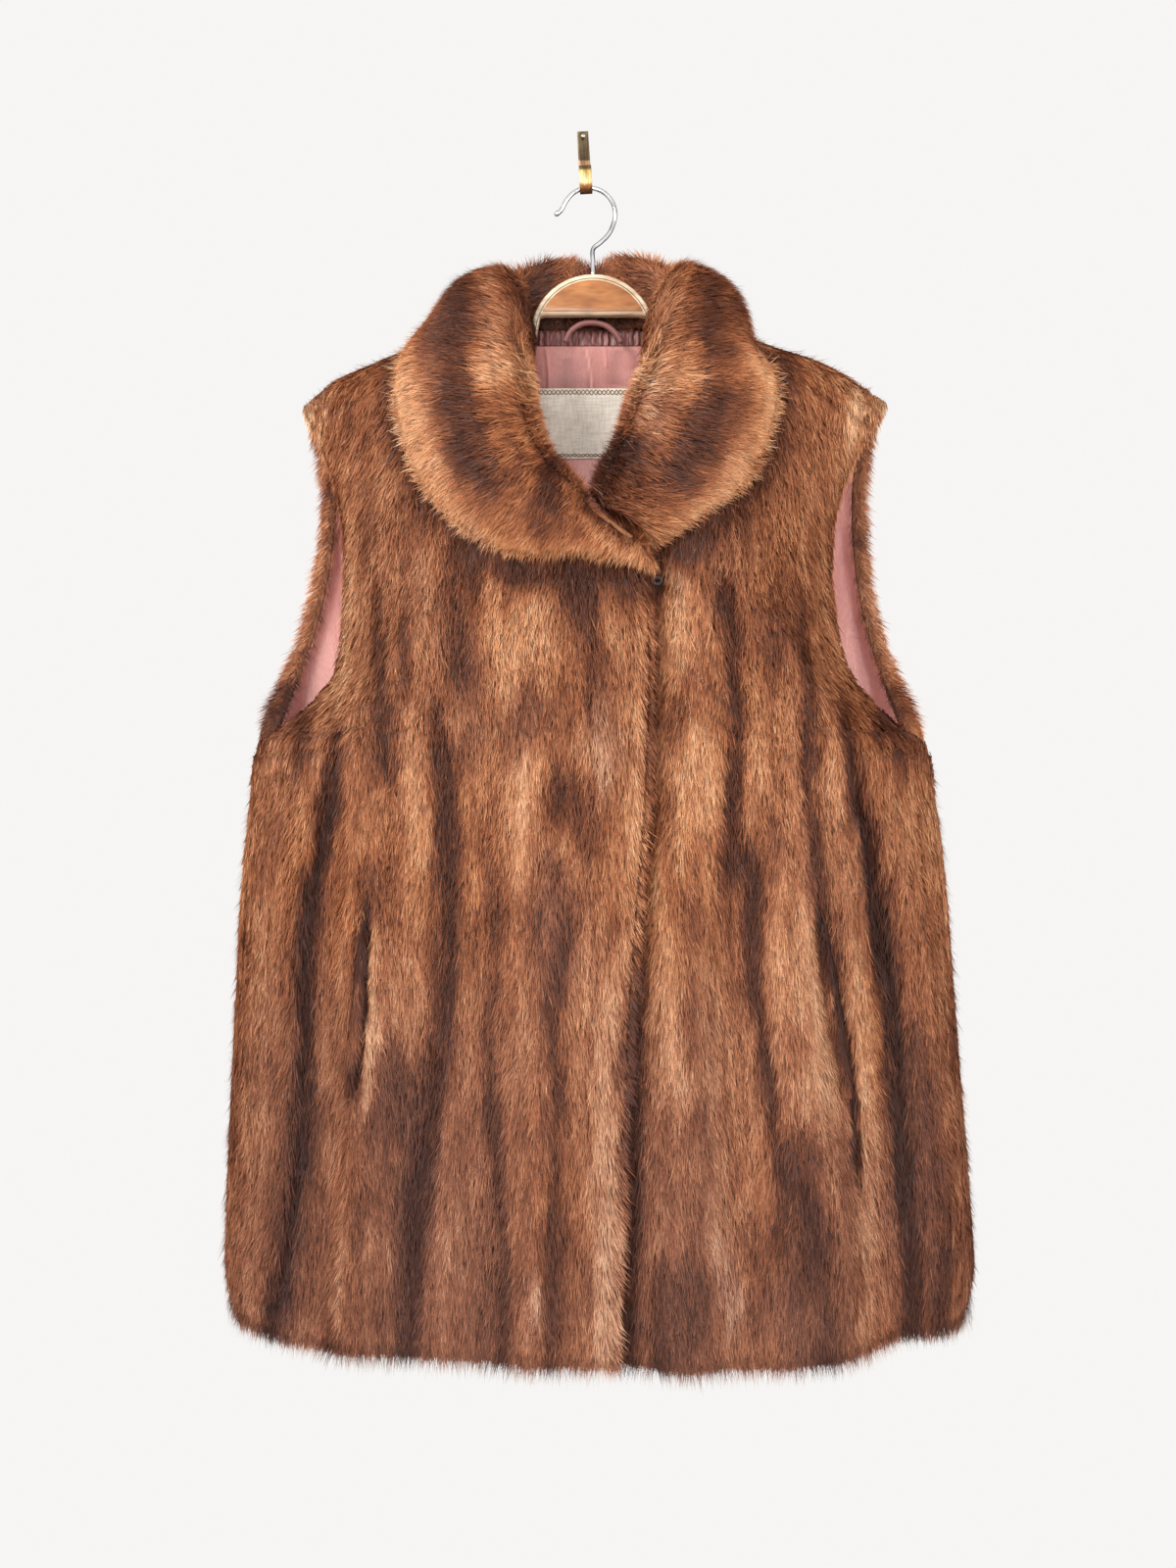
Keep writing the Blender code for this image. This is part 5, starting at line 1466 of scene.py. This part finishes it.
def studio_world():
    """An even, pale world. Shiny things mirror it bright at their front and dark behind."""
    world = bpy.data.worlds.new("studio")
    bpy.context.scene.world = world
    world.use_nodes = True
    nodes, links = world.node_tree.nodes, world.node_tree.links
    nodes.clear()
    backdrop = nodes.new("ShaderNodeBackground")
    backdrop.inputs["Color"].default_value = (0.93, 0.915, 0.90, 1)
    light = nodes.new("ShaderNodeBackground")
    set_inputs(light, {"Color": (1.0, 0.985, 0.97, 1), "Strength": WORLD_LIGHT})
    path = nodes.new("ShaderNodeLightPath")
    mirrored = nodes.new("ShaderNodeBackground")
    tone = ramp(nodes, links, axes(nodes, links, "Generated")["Y"], MIRRORED_TONES)
    links.new(tone, mirrored.inputs["Color"])
    both = nodes.new("ShaderNodeMixShader")
    links.new(path.outputs["Is Glossy Ray"], both.inputs["Fac"])
    links.new(light.outputs["Background"], both.inputs[1])
    links.new(mirrored.outputs["Background"], both.inputs[2])
    mix = nodes.new("ShaderNodeMixShader")
    out = nodes.new("ShaderNodeOutputWorld")
    links.new(path.outputs["Is Camera Ray"], mix.inputs["Fac"])
    links.new(both.outputs["Shader"], mix.inputs[1])
    links.new(backdrop.outputs["Background"], mix.inputs[2])
    links.new(mix.outputs["Shader"], out.inputs["Surface"])


def area_light(name, place, aim, size, watts, colour):
    lamp = bpy.data.lights.new(name, "AREA")
    lamp.shape = "DISK"
    lamp.size = size
    lamp.energy = watts
    lamp.color = colour
    thing = bpy.data.objects.new(name, lamp)
    bpy.context.scene.collection.objects.link(thing)
    thing.location = place
    thing.rotation_euler = (Vector(aim) - Vector(place)).to_track_quat("-Z", "Y").to_euler()


def stage():
    """The studio: world, lamps, the photograph's camera, and a plain pale floor."""
    studio_world()
    for lamp in LAMPS:
        area_light(*lamp)
    camera = bpy.data.objects.new("camera", bpy.data.cameras.new("camera"))
    bpy.context.scene.collection.objects.link(camera)
    camera.location = CAMERA_PLACE
    camera.rotation_euler = (math.pi / 2, 0, 0)
    camera.data.sensor_fit = "VERTICAL"
    camera.data.sensor_height = SENSOR_HEIGHT
    camera.data.lens = CAMERA_LENS
    camera.data.clip_start = 0.01
    bpy.context.scene.camera = camera
    bpy.context.scene.view_settings.view_transform = "Standard"

    floor_look, nodes, links, shader = new_material("floor")
    speck = noise_node(nodes, links, 3.0)
    links.new(ramp(nodes, links, speck, FLOOR_TONES), shader.inputs["Base Color"])
    shader.inputs["Roughness"].default_value = 0.8
    mesh = bpy.data.meshes.new("floor")
    corners = ((-1, FLOOR_NEAR), (1, FLOOR_NEAR), (1, FLOOR_FAR), (-1, FLOOR_FAR))
    mesh.from_pydata([(side * FLOOR_WIDE, y, FLOOR_Z) for side, y in corners], [], [(0, 1, 2, 3)])
    mesh.materials.append(floor_look)
    floor = bpy.data.objects.new("floor", mesh)
    bpy.context.scene.collection.objects.link(floor)


# ---------------------------------------------------------------- the whole


def main():
    stage()
    hair, under = fur_material(), underfur_material()
    rose = satin_material("rose_satin", (0.55, 0.2, 0.175), (0.75, 0.32, 0.28), (0.9, 0.46, 0.4))
    mauve = satin_material("mauve_satin", (0.14, 0.044, 0.04), (0.24, 0.088, 0.08), (0.35, 0.148, 0.132))

    over = Wall("front_right_over", front_away, 2)
    beneath = Wall("front_left_under", front_away, 2)
    back = Wall("back", back_away, 2)
    collar = Wall("collar", collar_away, 1)
    for wall, outward, placed in ((over, 1, True), (beneath, 1, True), (back, -1, False)):
        bend = crease_field(wall.points) if placed else np.zeros(len(wall.points))
        skin(wall, [under, rose], bend, *body_tones(wall.points, outward, placed))
    skin(collar, [under], np.zeros(len(collar.points)), *collar_tones(collar.points))

    pelts = [
        grow_body(over, "fur_front_right_over", (175000, 14000), hair, 1, 1, True, over_edge_pull),
        grow_body(beneath, "fur_front_left_under", (165000, 14000), hair, 1, 2, True),
        grow_body(back, "fur_back", (145000, 34000), hair, -1, 3, False, rim_pull=armhole_pull),
        grow_collar(collar, "fur_collar", 170000, hair, 5),
    ]
    facing = grow_facing(back, "fur_armholes", 170000, hair, 8)
    welts = [grow_welt("pocket_welt_right", hair, under, 1, 6),
             grow_welt("pocket_welt_left", hair, under, -1, 7)]

    lining = cloth("back_lining", rose, 1, lambda p: sink(p, LINING_CREASES),
                   lambda p, depth: depth / (9 * MM))
    yoke = cloth("neck_yoke", rose, 4, lambda p: sink(p, YOKE_CREASES),
                 lambda p, depth: 0.30 + depth / (1.6 * MM) + 0.20 * ease((-0.198 - p[:, 2]) / 0.012))
    band = cloth("ruched_band", mauve, 2, lambda p: 0.5 * MM * gather_shape(p),
                 lambda p, depth: 1.3 * gather_shape(p) + 0.35 * ease((p[:, 2] + 0.1672) / 0.003))
    satin_loop(mauve)
    label = cloth("label", ribbon_material(), 3, lambda p: sink(p, LABEL_CREASES),
                  lambda p, depth: depth * 0)
    tan_thread = thread_material("tan_thread", (0.20, 0.12, 0.06), (0.40, 0.27, 0.15))
    label_tree = BVHTree.FromPolygons([tuple(v.co) for v in label.data.vertices],
                                      [tuple(p.vertices) for p in label.data.polygons])
    rows = stitches(label_tree, tan_thread)

    finish_solid("fur_eye", thread_material("dark_thread", (0.02, 0.012, 0.01), (0.07, 0.045, 0.035)),
                 subdivide=1)
    pale = wood_material("pale_wood", (0.62, 0.43, 0.26), (0.80, 0.61, 0.41), (0.88, 0.72, 0.53),
                         (1, 6, 6), 0.3, True)
    honey = wood_material("honey_wood", (0.29, 0.092, 0.018), (0.41, 0.148, 0.036), (0.51, 0.215, 0.062),
                          (1, 4, 4), 0.5)
    chrome = metal_material("chrome", (0.55, 0.55, 0.57), (0.74, 0.74, 0.76), (0.90, 0.90, 0.92),
                            0.14, 90, 0.04)
    brass = metal_material("brass", (0.22, 0.17, 0.12), (0.46, 0.38, 0.28), (0.74, 0.66, 0.54),
                           0.30, 400, 0.08)
    finish_solid("hanger", pale, bevel=0.6 * MM)
    finish_solid("hanger_panel", honey, bevel=0.2 * MM)
    finish_solid("hanger_hook", chrome, subdivide=2, sharp=80)
    finish_solid("wall_hook", strip_material(), bevel=0.3 * MM)
    finish_solid("nail", brass, subdivide=1, sharp=80)


main()
